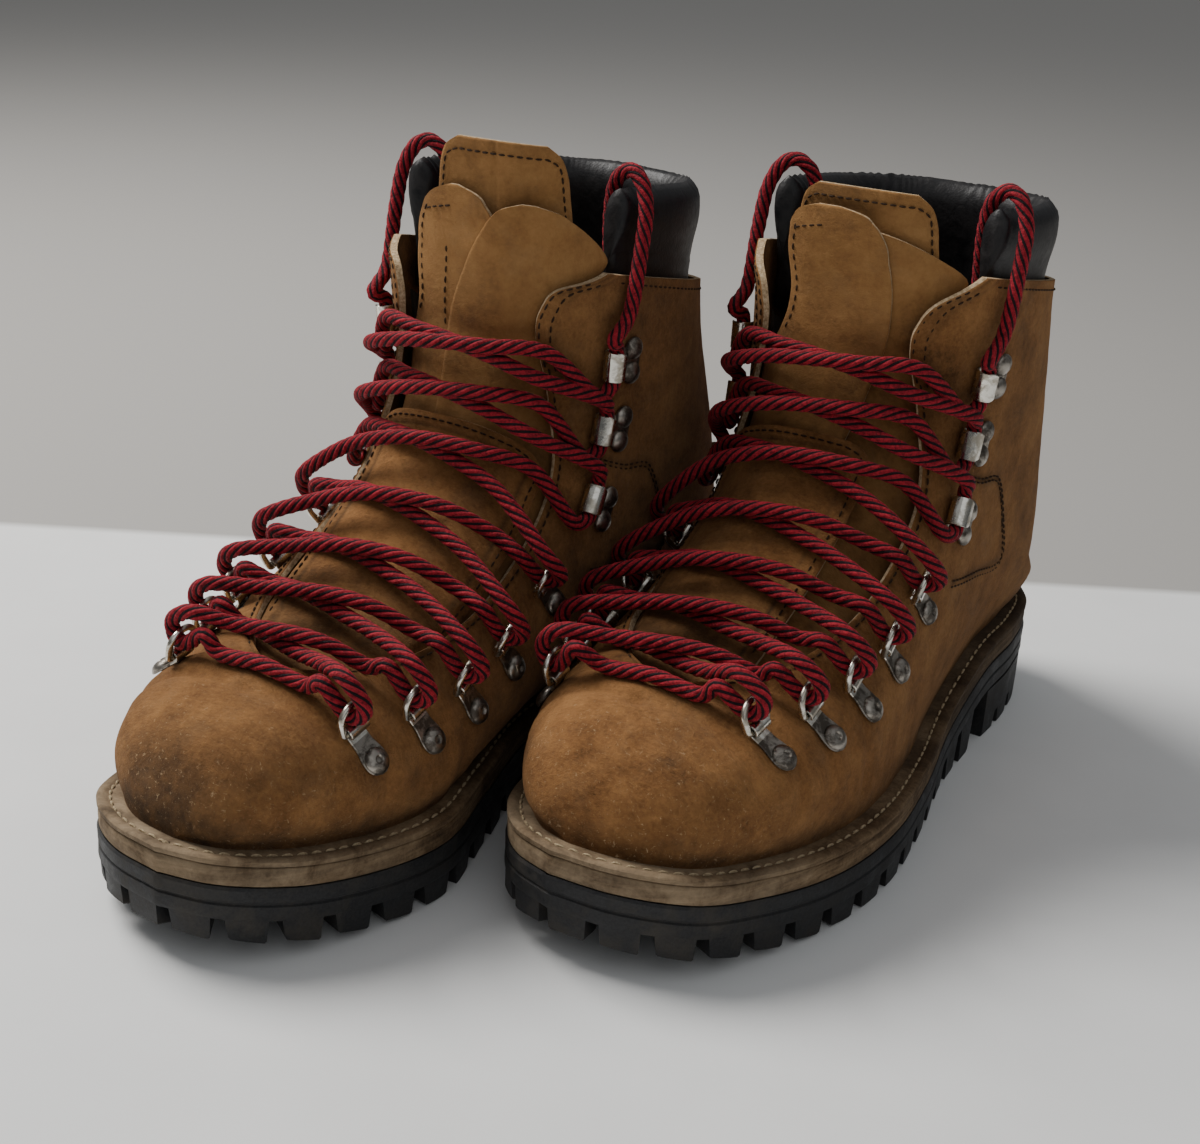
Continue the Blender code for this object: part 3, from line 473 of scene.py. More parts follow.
def surface_stitches(line, out, **kind):
    """Stitches along a line of (s, a) addresses."""
    line = np.array(line, float)
    places = np.arange(len(line))
    fine = np.linspace(0, len(line) - 1, 40 * len(line))
    follow = curve_through if len(line) > 3 else np.interp
    s, a = follow(fine, places, line[:, 0]), follow(fine, places, line[:, 1])
    height = out(s, a) if callable(out) else np.full(s.shape, float(out))
    return stitch_row(SURFACE.at(s, a, height), SURFACE.normal(s, a), **kind)


def near_line(points, line):
    """Distance of each point to a line of (s, a) addresses."""
    line = np.array(line, float)
    fine = np.linspace(0, len(line) - 1, 30 * len(line))
    places = np.arange(len(line))
    s, a = np.interp(fine, places, line[:, 0]), np.interp(fine, places, line[:, 1])
    q = SURFACE.at(s, a)
    p = np.asarray(points).reshape(-1, 3)
    best = np.empty(len(p))
    batch = 4000
    for start in range(0, len(p), batch):
        block = p[start:start + batch]
        best[start:start + batch] = np.sqrt(((block[:, None] - q[None]) ** 2).sum(-1).min(axis=1))
    return best.reshape(np.asarray(points).shape[:-1])


def lumps(points, size, seed):
    """Smooth random values in -1 to 1, with the given size of lump in millimetres."""
    p = np.asarray(points, float)
    flat = p.reshape(-1, 3) / size + np.array([seed * 3.1, seed * 1.7, seed * 0.9])
    return np.array([noise.noise(Vector(v)) for v in flat]).reshape(p.shape[:-1])


# ---- materials ----
class Shader:
    """One Principled material built from nodes. Sizes of patterns are in millimetres."""

    def __init__(self, name, roughness, metallic=0.0, **fixed):
        self.mat = bpy.data.materials.new(name)
        self.mat.use_nodes = True
        self.tree = self.mat.node_tree
        self.bsdf = self.tree.nodes["Principled BSDF"]
        self.coords = self.tree.nodes.new("ShaderNodeTexCoord").outputs["Object"]
        self.set(self.bsdf, "Roughness", roughness)
        self.set(self.bsdf, "Metallic", metallic)
        for key, value in fixed.items():
            self.set(self.bsdf, key.replace("_", " "), value)

    def set(self, node, key, value):
        if isinstance(value, bpy.types.NodeSocket):
            self.tree.links.new(value, node.inputs[key])
        elif isinstance(value, tuple) and len(value) == 3 and node.inputs[key].type == "RGBA":
            node.inputs[key].default_value = (*value, 1)
        else:
            node.inputs[key].default_value = value

    def node(self, kind, inputs, out=0, **settings):
        made = self.tree.nodes.new(kind)
        for key, value in settings.items():
            setattr(made, key, value)
        for key, value in inputs.items():
            self.set(made, key, value)
        return made.outputs[out]

    def stretched(self, x, y, z):
        return self.node("ShaderNodeMapping", {"Vector": self.coords, "Scale": (x, y, z)})

    def noise(self, size, detail=4.0, rough=0.55, distortion=0.0, vector=None):
        return self.node("ShaderNodeTexNoise", {"Vector": vector or self.coords, "Scale": 1000 / size,
                                                "Detail": detail, "Roughness": rough,
                                                "Distortion": distortion})

    def cells(self, size):
        return self.node("ShaderNodeTexVoronoi", {"Vector": self.coords, "Scale": 1000 / size})

    def attribute(self, name):
        return self.node("ShaderNodeAttribute", {}, out=2, attribute_name=name)

    def math(self, operation, a, b=0.0, clamp=False):
        return self.node("ShaderNodeMath", {0: a, 1: b}, operation=operation, use_clamp=clamp)

    def total(self, *parts):
        """Sum of (value, weight) pairs."""
        scaled = [self.math("MULTIPLY", value, weight) for value, weight in parts]
        result = scaled[0]
        for value in scaled[1:]:
            result = self.math("ADD", result, value)
        return result

    def ramp(self, factor, *stops):
        made = self.tree.nodes.new("ShaderNodeValToRGB")
        self.tree.links.new(factor, made.inputs[0])
        band = made.color_ramp
        while len(band.elements) < len(stops):
            band.elements.new(0.5)
        for element, (place, colour) in zip(band.elements, stops):
            element.position = place
            element.color = (*colour, 1) if isinstance(colour, tuple) else (colour, colour, colour, 1)
        return made.outputs[0]

    def mix(self, factor, a, b, blend="MIX"):
        made = self.tree.nodes.new("ShaderNodeMix")
        made.data_type, made.blend_type = "RGBA", blend
        for key, value in ((0, factor), (6, a), (7, b)):
            self.set(made, key, value)
        return made.outputs[2]

    def bump(self, height, distance, strength=1.0, normal=None):
        inputs = {"Height": height, "Distance": distance / 1000, "Strength": strength}
        if normal is not None:
            inputs["Normal"] = normal
        return self.node("ShaderNodeBump", inputs)

    def done(self, colour, normal=None, roughness=None):
        self.set(self.bsdf, "Base Color", colour)
        if normal is not None:
            self.set(self.bsdf, "Normal", normal)
        if roughness is not None:
            self.set(self.bsdf, "Roughness", roughness)
        return self.mat


def suede(name, light, middle, dark, nap=1.0):
    """Roughout leather: mottled, with a nap, darkened with dirt and painted shade where the mesh says so, and
    pale scuffs.
    """
    sh = Shader(name, 0.92, Sheen_Weight=0.06, Sheen_Roughness=0.5, Sheen_Tint=(0.9, 0.7, 0.5),
                Specular_IOR_Level=0.15)
    cloud, spots = sh.noise(34, 5, 0.6, 0.4), sh.noise(8, 6, 0.65)
    fine = sh.noise(1.3, 5, 0.7)
    streak = sh.noise(1.0, 4, 0.6, 0.6, sh.stretched(0.35, 1.0, 0.55))
    tone = sh.total((cloud, 0.50), (spots, 0.32), (fine, 0.26 * nap), (streak, 0.20 * nap))
    shift = 0.12 * (nap - 0.5)
    colour = sh.ramp(tone, (0.38 + shift, dark), (0.52 + shift, middle), (0.70 + shift, light))
    # Darkens towards a near black brown where the mesh's value says so: dirt, and painted shade.
    stain_and_shade = sh.math("MULTIPLY", sh.attribute("dirt_and_shade"), sh.ramp(spots, (0.30, 1.15), (0.72, 0.55)))
    colour = sh.mix(sh.math("MULTIPLY", stain_and_shade, 0.92, True), colour, (0.035, 0.022, 0.013))
    grey = sh.math("MULTIPLY", sh.ramp(sh.noise(15, 5, 0.7), (0.52, 0.0), (0.70, 1.0)), 0.35)
    colour = sh.mix(sh.math("MULTIPLY", grey, 0.6), colour, (0.12, 0.085, 0.055))
    fleck = sh.ramp(sh.noise(1.5, 4, 0.8, 0.8), (0.60, 0.0), (0.68, 1.0))
    patch = sh.math("MULTIPLY", fleck, sh.math("MULTIPLY", sh.attribute("scuff"), 1.0, clamp=True))
    colour = sh.mix(sh.math("MULTIPLY", patch, 0.85), colour, (0.52, 0.38, 0.22))
    height = sh.total((fine, 0.6), (streak, 0.55), (sh.noise(0.42, 3, 0.7), 0.35))
    normal = sh.bump(height, 0.8 * nap, 1.0)
    return sh.done(colour, sh.bump(spots, 0.8, 0.6, normal))


def raw_edge():
    sh = Shader("raw_leather_edge", 0.95, Specular_IOR_Level=0.1)
    tone = sh.noise(1.2, 5, 0.75)
    colour = sh.ramp(tone, (0.32, (0.22, 0.14, 0.075)), (0.5, (0.48, 0.35, 0.21)), (0.7, (0.70, 0.56, 0.39)))
    return sh.done(colour, sh.bump(tone, 0.5, 0.9))


def black_leather():
    sh = Shader("black_leather", 0.5, Specular_IOR_Level=0.28)
    grain = sh.cells(0.9)
    fold = sh.noise(5, 5, 0.6, 0.8)
    colour = sh.ramp(fold, (0.3, (0.006, 0.006, 0.007)), (0.7, (0.022, 0.020, 0.020)))
    normal = sh.bump(grain, 0.10, 0.5)
    return sh.done(colour, sh.bump(fold, 0.35, 0.4, normal), sh.ramp(fold, (0.3, 0.36), (0.7, 0.55)))


def lining_leather():
    sh = Shader("lining_leather", 0.75, Specular_IOR_Level=0.2)
    tone = sh.noise(9, 6, 0.65)
    colour = sh.ramp(tone, (0.3, (0.016, 0.012, 0.009)), (0.7, (0.055, 0.040, 0.027)))
    return sh.done(colour, sh.bump(sh.noise(1.4, 5, 0.7), 0.2, 0.5))


def sole_leather():
    """Stacked sole leather seen on its cut side: thin level lines, scuffs, dust near the toe."""
    sh = Shader("sole_leather", 0.85, Specular_IOR_Level=0.2)
    layers = sh.noise(7, 5, 0.65, 0.25, sh.stretched(0.22, 0.22, 3.2))
    blotch = sh.noise(13, 6, 0.7, 0.5)
    grit = sh.noise(1.2, 5, 0.75)
    tone = sh.total((layers, 0.45), (blotch, 0.40), (grit, 0.22))
    colour = sh.ramp(tone, (0.38, (0.030, 0.018, 0.010)), (0.50, (0.095, 0.058, 0.030)),
                     (0.60, (0.185, 0.122, 0.066)), (0.72, (0.32, 0.235, 0.145)))
    dusty = sh.math("MULTIPLY", sh.attribute("dust"), sh.ramp(blotch, (0.35, 0.2), (0.62, 1.0)))
    colour = sh.mix(sh.math("MULTIPLY", dusty, 0.65, True), colour, (0.36, 0.275, 0.18))
    # Darkens where the mesh's value says so: random dirt, and painted shade towards the heel.
    colour = sh.mix(sh.math("MULTIPLY", sh.attribute("dirt_and_shade"), 0.9, True), colour, (0.018, 0.013, 0.010))
    return sh.done(colour, sh.bump(sh.total((layers, 0.8), (grit, 0.5)), 0.45, 0.8))


def sole_rubber():
    sh = Shader("sole_rubber", 0.62, Specular_IOR_Level=0.35)
    blotch, grit = sh.noise(11, 6, 0.7, 0.4), sh.noise(1.0, 4, 0.7)
    colour = sh.ramp(grit, (0.35, (0.007, 0.007, 0.008)), (0.65, (0.020, 0.020, 0.021)))
    dust = sh.math("MULTIPLY", sh.attribute("dust"), sh.ramp(blotch, (0.45, 0.0), (0.68, 1.0)))
    colour = sh.mix(sh.math("MULTIPLY", dust, 0.30, True), colour, (0.12, 0.10, 0.075))
    haze = sh.ramp(blotch, (0.40, 0.0), (0.75, 0.20))
    colour = sh.mix(haze, colour, (0.040, 0.038, 0.036))
    normal = sh.bump(grit, 0.16, 0.6)
    return sh.done(colour, sh.bump(blotch, 0.3, 0.3, normal), sh.ramp(blotch, (0.35, 0.50), (0.7, 0.85)))


def nickel(name, bright, worn, rough):
    """Plated metal with fine scratches and worn or tarnished spots."""
    sh = Shader(name, rough, 1.0)
    scratch = sh.noise(0.8, 4, 0.6, 0.0, sh.stretched(0.2, 1.0, 1.0))
    tarnish = sh.noise(4.5, 5, 0.65, 0.4)
    colour = sh.ramp(tarnish, (0.42, worn), (0.56, bright))
    normal = sh.bump(scratch, 0.05, 0.5)
    return sh.done(colour, normal, sh.ramp(tarnish, (0.40, rough + 0.22), (0.60, rough)))


def cord_colour(name, light, dark):
    """Twisted synthetic yarn with fine fibres."""
    sh = Shader(name, 0.72, Sheen_Weight=0.04, Sheen_Roughness=0.4, Specular_IOR_Level=0.2)
    fibre, mottle = sh.noise(0.45, 4, 0.7), sh.noise(3.5, 4, 0.6)
    knots = sh.noise(1.1, 2, 0.5)
    tone = sh.total((fibre, 0.4), (mottle, 0.25), (knots, 0.35))
    normal = sh.bump(fibre, 0.3, 0.9)
    return sh.done(sh.ramp(tone, (0.40, dark), (0.58, light)), sh.bump(knots, 0.5, 0.8, normal))


def thread(name, light, dark):
    sh = Shader(name, 0.8, Specular_IOR_Level=0.2)
    tone = sh.noise(0.7, 4, 0.7)
    return sh.done(sh.ramp(tone, (0.35, dark), (0.65, light)), sh.bump(tone, 0.2, 0.8))


MATS = {
    "suede": suede("suede_leather", (0.345, 0.168, 0.060), (0.205, 0.092, 0.031), (0.085, 0.037, 0.014)),
    "flap": suede("flap_leather", (0.42, 0.225, 0.085), (0.29, 0.145, 0.050), (0.15, 0.070, 0.027), 0.5),
    "edge": raw_edge(),
    "collar": black_leather(),
    "lining": lining_leather(),
    "midsole": sole_leather(),
    "rubber": sole_rubber(),
    "nickel": nickel("bright_nickel", (0.74, 0.71, 0.64), (0.42, 0.38, 0.31), 0.13),
    "steel": nickel("dark_nickel", (0.34, 0.31, 0.27), (0.10, 0.085, 0.07), 0.30),
    "red": cord_colour("crimson_yarn", (0.42, 0.018, 0.032), (0.13, 0.005, 0.011)),
    "black": cord_colour("dark_yarn", (0.020, 0.006, 0.010), (0.005, 0.003, 0.004)),
    "thread": thread("brown_thread", (0.060, 0.032, 0.016), (0.020, 0.011, 0.006)),
    "welt_thread": thread("pale_thread", (0.52, 0.42, 0.27), (0.25, 0.18, 0.10)),
    "aglet": nickel("aglet_metal", (0.55, 0.52, 0.47), (0.30, 0.27, 0.23), 0.28),
}


# ---- soles ----
def sole_loop(inset, every=2):
    """Closed outline of the sole, moved inwards, as dense x and y."""
    x0, y0 = outline_side(OUTLINE_OUTER, inset)
    x1, y1 = outline_side(OUTLINE_INNER, inset)
    x, y = np.r_[x0, x1[::-1][1:-1]], np.r_[y0, y1[::-1][1:-1]]
    return x[::every], y[::every]


def sole_band(profile):
    """Closed solid round the sole outline from (inset, height above the lift of the sole), bottom first."""
    rings = []
    for inset, height in profile:
        x, y = sole_loop(inset)
        rings.append(np.stack([x, y, height + sole_lift(y)], 1))
    return loft(rings)


def lug(corners, root):
    """Tread block that narrows downwards to the floor curve, with softened lower edges."""
    base = np.array(corners, float)
    middle = base.mean(axis=0)
    rings = []
    for share in (1.0, 0.10, 0.0):
        size = 1 - (1 - np.array(LUG_WIDTHS)) * (1 - share)
        pull = 1.0 if share > 0 else 0.9125
        sunk = 0.8 if share == 1.0 else 0.0
        xy = middle + (base - middle) * size * pull
        rings.append(np.c_[xy, toe_lift(base[:, 1]) + share * root + sunk])
    return loft(rings)


def lug_blocks():
    """Footprints of the tread blocks: a row round the edge of the sole and two rows down its middle."""
    edges = []
    for inset in (0.4, 15.0):
        x0, y0 = outline_side(OUTLINE_OUTER, inset)
        x1, y1 = outline_side(OUTLINE_INNER, inset)
        edges.append(np.c_[np.r_[x0[::-1], x1[1:]], np.r_[y0[::-1], y1[1:]]])
    edge, inside = edges
    run = np.flatnonzero(edge[:, 1] < 66)
    edge, inside = edge[run], inside[run]
    along = np.r_[0, np.cumsum(np.linalg.norm(np.diff(edge, axis=0), axis=1))]
    pitch = along[-1] / LUG_COUNT

    def at(points, d):
        return np.stack([np.interp(d, along, points[:, k]) for k in (0, 1)], -1)

    blocks = []
    for k in range(LUG_COUNT):
        outer = at(edge, np.linspace(k + 0.12, k + 0.88, 7) * pitch)
        inner = at(inside, np.array([k + 0.80, k + 0.20]) * pitch)
        blocks.append([tuple(c) for c in np.r_[outer, inner]])
    for k in range(6):
        y = -115 + 28 * k
        for x in (-20, 12):
            x += 4 if k % 2 else -4
            blocks.append([(x - 9, y - 9), (x + 9, y - 9), (x + 9, y + 9), (x - 9, y + 9)])
    return blocks


def edge_dust(points, seed, low=0.25):
    """More dust round the toe than along the sides."""
    p = points.reshape(-1, 3)
    return np.clip(low + 0.9 * smooth(-p[:, 1], 60, 150) + 0.35 * lumps(p, 22, seed), 0, 1)


def make_sole(foot):
    seed = 3 if MIRRORED[foot] else 8
    top = SOLE_TOP
    body = sole_band([(14, LUG_ROOT), (1.6, LUG_ROOT), (0.5, LUG_ROOT + 0.6),
                      (0.0, LUG_ROOT + 1.8), (0.15, 12.4), (0.7, 12.9),
                      (0.7, 13.4), (0.1, 13.9), (0.0, top - 1.0),
                      (0.5, top), (14, top)])
    lugs = [lug(c, LUG_ROOT + float(sole_lift(c[0][1]) - toe_lift(c[0][1]))) for c in lug_blocks()]
    parts = [body] + lugs
    points = np.concatenate([p[0] for p in parts])
    piece(f"{foot}_outsole_tread", parts, [MATS["rubber"]], foot, [f"{foot}_outsole"],
          values={"dust": edge_dust(points, seed)}, sharp=30)
    low = SOLE_TOP + GAP
    mid = sole_band([(14, low), (0.9, low), (0.6, low + 0.4),
                     (0.45, low + 2.9), (0.5, low + 3.1), (0.45, low + 3.4),
                     (0.6, low + 6.1), (1.0, low + 6.5), (14, low + 6.5)])
    high = low + 6.7
    welt = sole_band([(14, high), (0.7, high), (0.25, high + 0.3),
                      (0.2, high + 1.7), (0.9, high + 2.35), (3.4, high + 2.45),
                      (3.9, high + 2.05), (4.9, high + 2.05), (5.4, high + 2.45),
                      (12, high + 2.4), (16, high + 2.3)])
    for name, part, node in (("midsole_leather", mid, "midsole"), ("welt_leather", welt, "welt")):
        p = part[0]
        dust = edge_dust(p, seed + 5, 0.0)
        # Painted shade: darker towards the heel, with random dirt lumps.
        dirt_and_shade = np.clip(0.55 * smooth(p[:, 1], -40, 60) + 0.3 * lumps(p, 18, seed + 2), 0, 1)
        piece(f"{foot}_{name}", [part], [MATS["midsole"]], foot, [f"{foot}_{node}"],
              values={"dust": dust, "dirt_and_shade": dirt_and_shade}, sharp=50)
    x, y = sole_loop(4.4, 1)
    line = np.stack([x, y, high + 2.15 + sole_lift(y)], 1)
    line = np.concatenate([line, line[:1]])
    stitches = stitch_row(line, np.tile([0.0, 0.0, 1.0], (len(line), 1)), 3.3, 1.3, 0.46, 0.42)
    piece(f"{foot}_welt_stitches", stitches, [MATS["welt_thread"]], foot)


def make_heel(foot):
    """Heel block with notches cut round its edge."""
    top = LUG_ROOT + HEEL_RISE - GAP
    heel = np.flatnonzero(sole_loop(0.0, 1)[1] > HEEL_BREAST)
    rings = []
    for inset, height in ((1.0, 0.0), (0.4, 0.6), (0.25, 8.0), (0.3, top)):
        x, y = sole_loop(inset, 1)
        rings.append(np.stack([x[heel], y[heel], np.full(len(heel), height)], 1))
    block = piece(f"{foot}_heel_tread", [loft(rings)], [MATS["rubber"]], foot, [f"{foot}_heel_block"],
                  sharp=30)
    wedges = []
    for y in (92, 109, 126):
        for side in (OUTLINE_OUTER, OUTLINE_INNER):
            x0, x1 = float(outline_x(side, y, 0)) * 1.2, float(outline_x(side, y, 11))
            wedges.append(wedge((x0, x1), (y - 3.4, y + 3.4), (y - 1.6, y + 1.6)))
    for x0 in (-13, 5):
        wedges.append(wedge((x0, x0 + 6), (139, 160), (139, 160), (x0 + 1.5, x0 + 4.5)))
    cutter = piece("heel_wedges", wedges, [MATS["rubber"]], foot)
    cut = block.modifiers.new("notches", "BOOLEAN")
    cut.operation, cut.solver, cut.object = "DIFFERENCE", "EXACT", cutter
    bpy.context.view_layer.update()
    made = bpy.data.meshes.new_from_object(block.evaluated_get(bpy.context.evaluated_depsgraph_get()))
    block.modifiers.clear()
    block.data = made
    bpy.data.objects.remove(cutter)
    made.set_sharp_from_angle(angle=math.radians(30))
    layer = made.attributes.new("dust", "FLOAT", "POINT")
    layer.data.foreach_set("value", np.full(len(made.vertices), 0.45, np.float32))


def wedge(xs, ys, tip_ys, tip_xs=None):
    """Notch cutter from under the floor up to its narrower top."""
    tip_xs = tip_xs or xs
    points = [(x, y, -1.0) for x in xs for y in ys] + [(x, y, 7.0) for x in tip_xs for y in tip_ys]
    faces = [[0, 1, 3, 2], [4, 6, 7, 5], [0, 4, 5, 1], [1, 5, 7, 3], [3, 7, 6, 2], [2, 6, 4, 0]]
    return points, turned_out(points, faces), 0


def make_inside(foot):
    """Footbed and lining, seen through the mouth of the boot."""
    low = FEATHER + 2.7
    bed = sole_band([(22, low), (19.2, low + 0.3), (18.5, low + 1.6),
                     (19.2, low + 3.2), (23, low + 3.5), (28, low + 3.1)])
    piece(f"{foot}_footbed_cover", [bed], [MATS["lining"]], foot,
          [f"{foot}_footbed", f"{foot}_insole_board"])
    ankle = SURFACE.first_closed
    places = np.r_[np.arange(0.07, ankle, 0.009), np.arange(ankle, 0.790, 0.007)]
    closed = places >= ankle
    t = np.linspace(0, 1, 40)
    s = places[:, None] + 0 * t
    wide = [p for p in THROAT if p[0] > 0.45]
    half = np.interp(places, [p[0] for p in wide], [p[1] for p in wide])
    start = (np.where(places < LINING_THROAT, 0.0, half) + 14.0)[:, None]
    trim = np.where(closed, 0.0, 3.5)[:, None]
    reach_out, reach_in = SURFACE.reach(s, 1) - trim, SURFACE.reach(s, -1) - trim
    g = np.minimum(start, 0.8 * np.minimum(reach_out, reach_in))
    middle = np.linspace(-1, 1, 22)[None, 1:-1]
    a = np.concatenate([-(g + (reach_in - g) * t)[:, ::-1], g[:, :1] * middle,
                        g + (reach_out - g) * t], axis=1)
    s = places[:, None] + 0 * a
    holes = np.zeros((len(places) - 1, a.shape[1] - 1), bool)
    holes[places[:-1] >= LINING_THROAT, 39:60] = True
    part = skin(SURFACE.at(s, a, -6.4), SURFACE.at(s, a, -7.2), holes, ring=closed, rim=0)
    piece(f"{foot}_lining_skin", [part], [MATS["lining"]], foot, [f"{foot}_lining"])


# ---- upper ----
def seam_lines(side):
    return [[(s, side * a) for s, a in BACK_SEAM[k:k + 4]] for k in (0, 3)]


def make_upper(foot):
    seed = 4 if MIRRORED[foot] else 11
    fine = [0.2704, 0.2710, 0.2718, 0.273, 0.2755, 0.278, UPPER_TOP - 0.0016, UPPER_TOP - 0.0004, UPPER_TOP]
    places = np.unique(np.r_[np.arange(0, UPPER_TOP - 0.003, 0.0045), THROAT_START, fine])
    count = 66
    t = np.r_[0, 0.006, np.linspace(0.018, 1, count - 2)]
    s = places[:, None]
    g = throat(places)[:, None]
    reach_out, reach_in = SURFACE.reach(s, 1), SURFACE.reach(s, -1)
    a = np.concatenate([-(g + (reach_in - g) * t)[:, ::-1], g + (reach_out - g) * t], axis=1)
    s = s + 0 * a
    closed = places >= SURFACE.first_closed
    under = places <= THROAT_START + 1e-9
    holes = np.zeros((len(places) - 1, a.shape[1] - 1), bool)
    holes[places[:-1] >= THROAT_START - 1e-9, count - 1] = True
    lowered = lowered_top(s, foot)
    p = SURFACE.at(lowered, a, 0.0)
    out = 0.55 * lumps(p, 30, seed) + 0.22 * lumps(p, 9, seed + 2)
    out *= smooth(s, 0.0, 0.06)
    seams = np.full(a.shape, 1e9)
    for side in (1, -1):
        for line in seam_lines(side):
            seams = np.minimum(seams, near_line(p, line))
        for k, fold in enumerate(FOLDS):
            d = near_line(p, [(q, side * w + 3 * lumps([[k, seed, 0.5]], 1, seed)[0]) for q, w in fold])
            out += -0.85 * np.exp(-(d / 2.4) ** 2) + 0.35 * np.exp(-((d - 5.5) / 3.0) ** 2)
    out -= 0.40 * np.exp(-(seams / 0.8) ** 2)
    band = np.abs(a) - throat(s)
    raised = (1 - smooth(band, 5.6, 6.6)) * smooth(s, 0.69, 0.71) * (s > THROAT_START)
    out += 0.55 * raised
    line = (1 - smooth(np.abs(band - 2.2), 0.3, 0.8)) * (s > 0.275)
    out -= 0.25 * line
    out[:, count - 1] -= 0.45 * ~under
    out[:, count] -= 0.45 * ~under
    out[-1] -= 0.45
    p, q = SURFACE.at(lowered, a, out), SURFACE.at(lowered, a, -LEATHER)
    for grid in (p, q):
        for j in (0, -1):
            grid[~closed, j, 2] -= 1.3
    tip = p[1, 0] * 0.5 + p[1, -1] * 0.5
    p[0], q[0] = tip, tip + (0, LEATHER, 0)
    height = p[..., 2] - FEATHER - sole_lift(p[..., 1])
    # Darker along the seams, towards the welt, just outside the raised facing edge and along its stitch groove.
    dirt_and_shade = 0.55 * np.exp(-(seams / 1.7) ** 2) + 0.55 * (1 - smooth(height, 0.5, 13))
    dirt_and_shade += 0.30 * np.exp(-((band - 6.5) / 1.2) ** 2) * (s > 0.70) + 0.4 * line
    # Painted shade: the right boot's toe is darkened, for the shade that boot lies in.
    if MIRRORED[foot]:
        toe = ((p[..., 0] + 4) / 22) ** 2 + ((height - 14) / 14) ** 2
        dirt_and_shade += 0.75 * np.exp(-toe) * (p[..., 1] < -110)
    # Random dirt lumps, and painted shade over the whole right boot.
    dirt_and_shade += 0.35 * np.clip(lumps(p, 34, seed + 6), 0, 1) + (0.14 if MIRRORED[foot] else 0.0)
    scuff = smooth(-p[..., 1], 85, 135) * (0.35 + 0.6 * np.clip(lumps(p, 18, seed + 8) + 0.4, 0, 1))
    scuff += 0.25 * (1 - smooth(height, 0, 30))
    values = {"dirt_and_shade": both_skins(dirt_and_shade), "scuff": both_skins(scuff)}
    part = skin(p, q, holes, ring=closed, point=True, joined=(count - 1, count, under))
    piece(f"{foot}_upper_leather", [part], [MATS["suede"], MATS["edge"]], foot,
          [f"{foot}_upper", f"{foot}_toe_puff", f"{foot}_heel_counter"],
          values=values, sharp=55)


def backstay_half(s):
    return np.interp(s, [0.665, 0.68, 0.74, 0.868], [3.0, 5.0, 6.5, 7.2])


def lowered_top(s, foot):
    """The place that s moves to where the top line of this boot is lowered."""
    return s - TOP_DROP[foot] * smooth(s, 0.82, UPPER_TOP)


def make_backstay(foot):
    places = spaced(0.665, 0.868, 0.004)
    t = np.r_[-1, -0.93, np.linspace(-0.85, 0.85, 15), 0.93, 1]
    grids = []
    for out in (1.7, 0.5):
        rows = []
        for s, w in zip(lowered_top(places, foot), backstay_half(places)):
            reach = (float(SURFACE.reach(s, 1)), float(SURFACE.reach(s, -1)))
            rows.append([SURFACE.at(s, reach[0] + w * u - 0.01 if u < 0 else -(reach[1] - w * u - 0.01),
                                    out - (0.5 if abs(u) == 1 and out > 1 else 0)) for u in t])
        grids.append(np.array(rows))
    piece(f"{foot}_backstay_strip", [skin(*grids)], [MATS["suede"], MATS["edge"]], foot,
          [f"{foot}_backstay"])


# ---- throat layers ----
def layer(foot, name, places, left, right, columns, out, thick, leather, node, relief, dirt_and_shade):
    """Patch of leather between two edges, given as functions of the place along the boot."""
    s = np.asarray(places, float)[:, None]
    t = np.linspace(0, 1, columns)
    t = np.r_[0, 0.3 / columns, t[1:-1], 1 - 0.3 / columns, 1][None, :]
    lo, hi = left(s), right(s)
    a = lo + (hi - lo) * t
    s = s + 0 * a
    base = out(s, a) if callable(out) else np.full(a.shape, float(out))
    fall = np.zeros(a.shape)
    fall[0], fall[-1], fall[:, 0], fall[:, -1] = EDGE_DROP, EDGE_DROP, EDGE_DROP, EDGE_DROP
    outer = SURFACE.at(s, a, base + relief(s, a) - fall)
    piece(f"{foot}_{name}", [skin(outer, SURFACE.at(s, a, base - thick))], [MATS[leather], MATS["edge"]],
          foot, [f"{foot}_{node}"], values={"dirt_and_shade": both_skins(dirt_and_shade(s, a, outer))}, sharp=55)


def edge_band(left, right, top, s, a, width_s=0.021, width=6.0):
    """1 inside a border that follows both sides and the top of a patch, 0 in its middle."""
    side = np.minimum(a - left(s), right(s) - a)
    down = (top - s) / width_s * width
    return 1 - smooth(np.minimum(side, down), width - 0.7, width + 0.5)


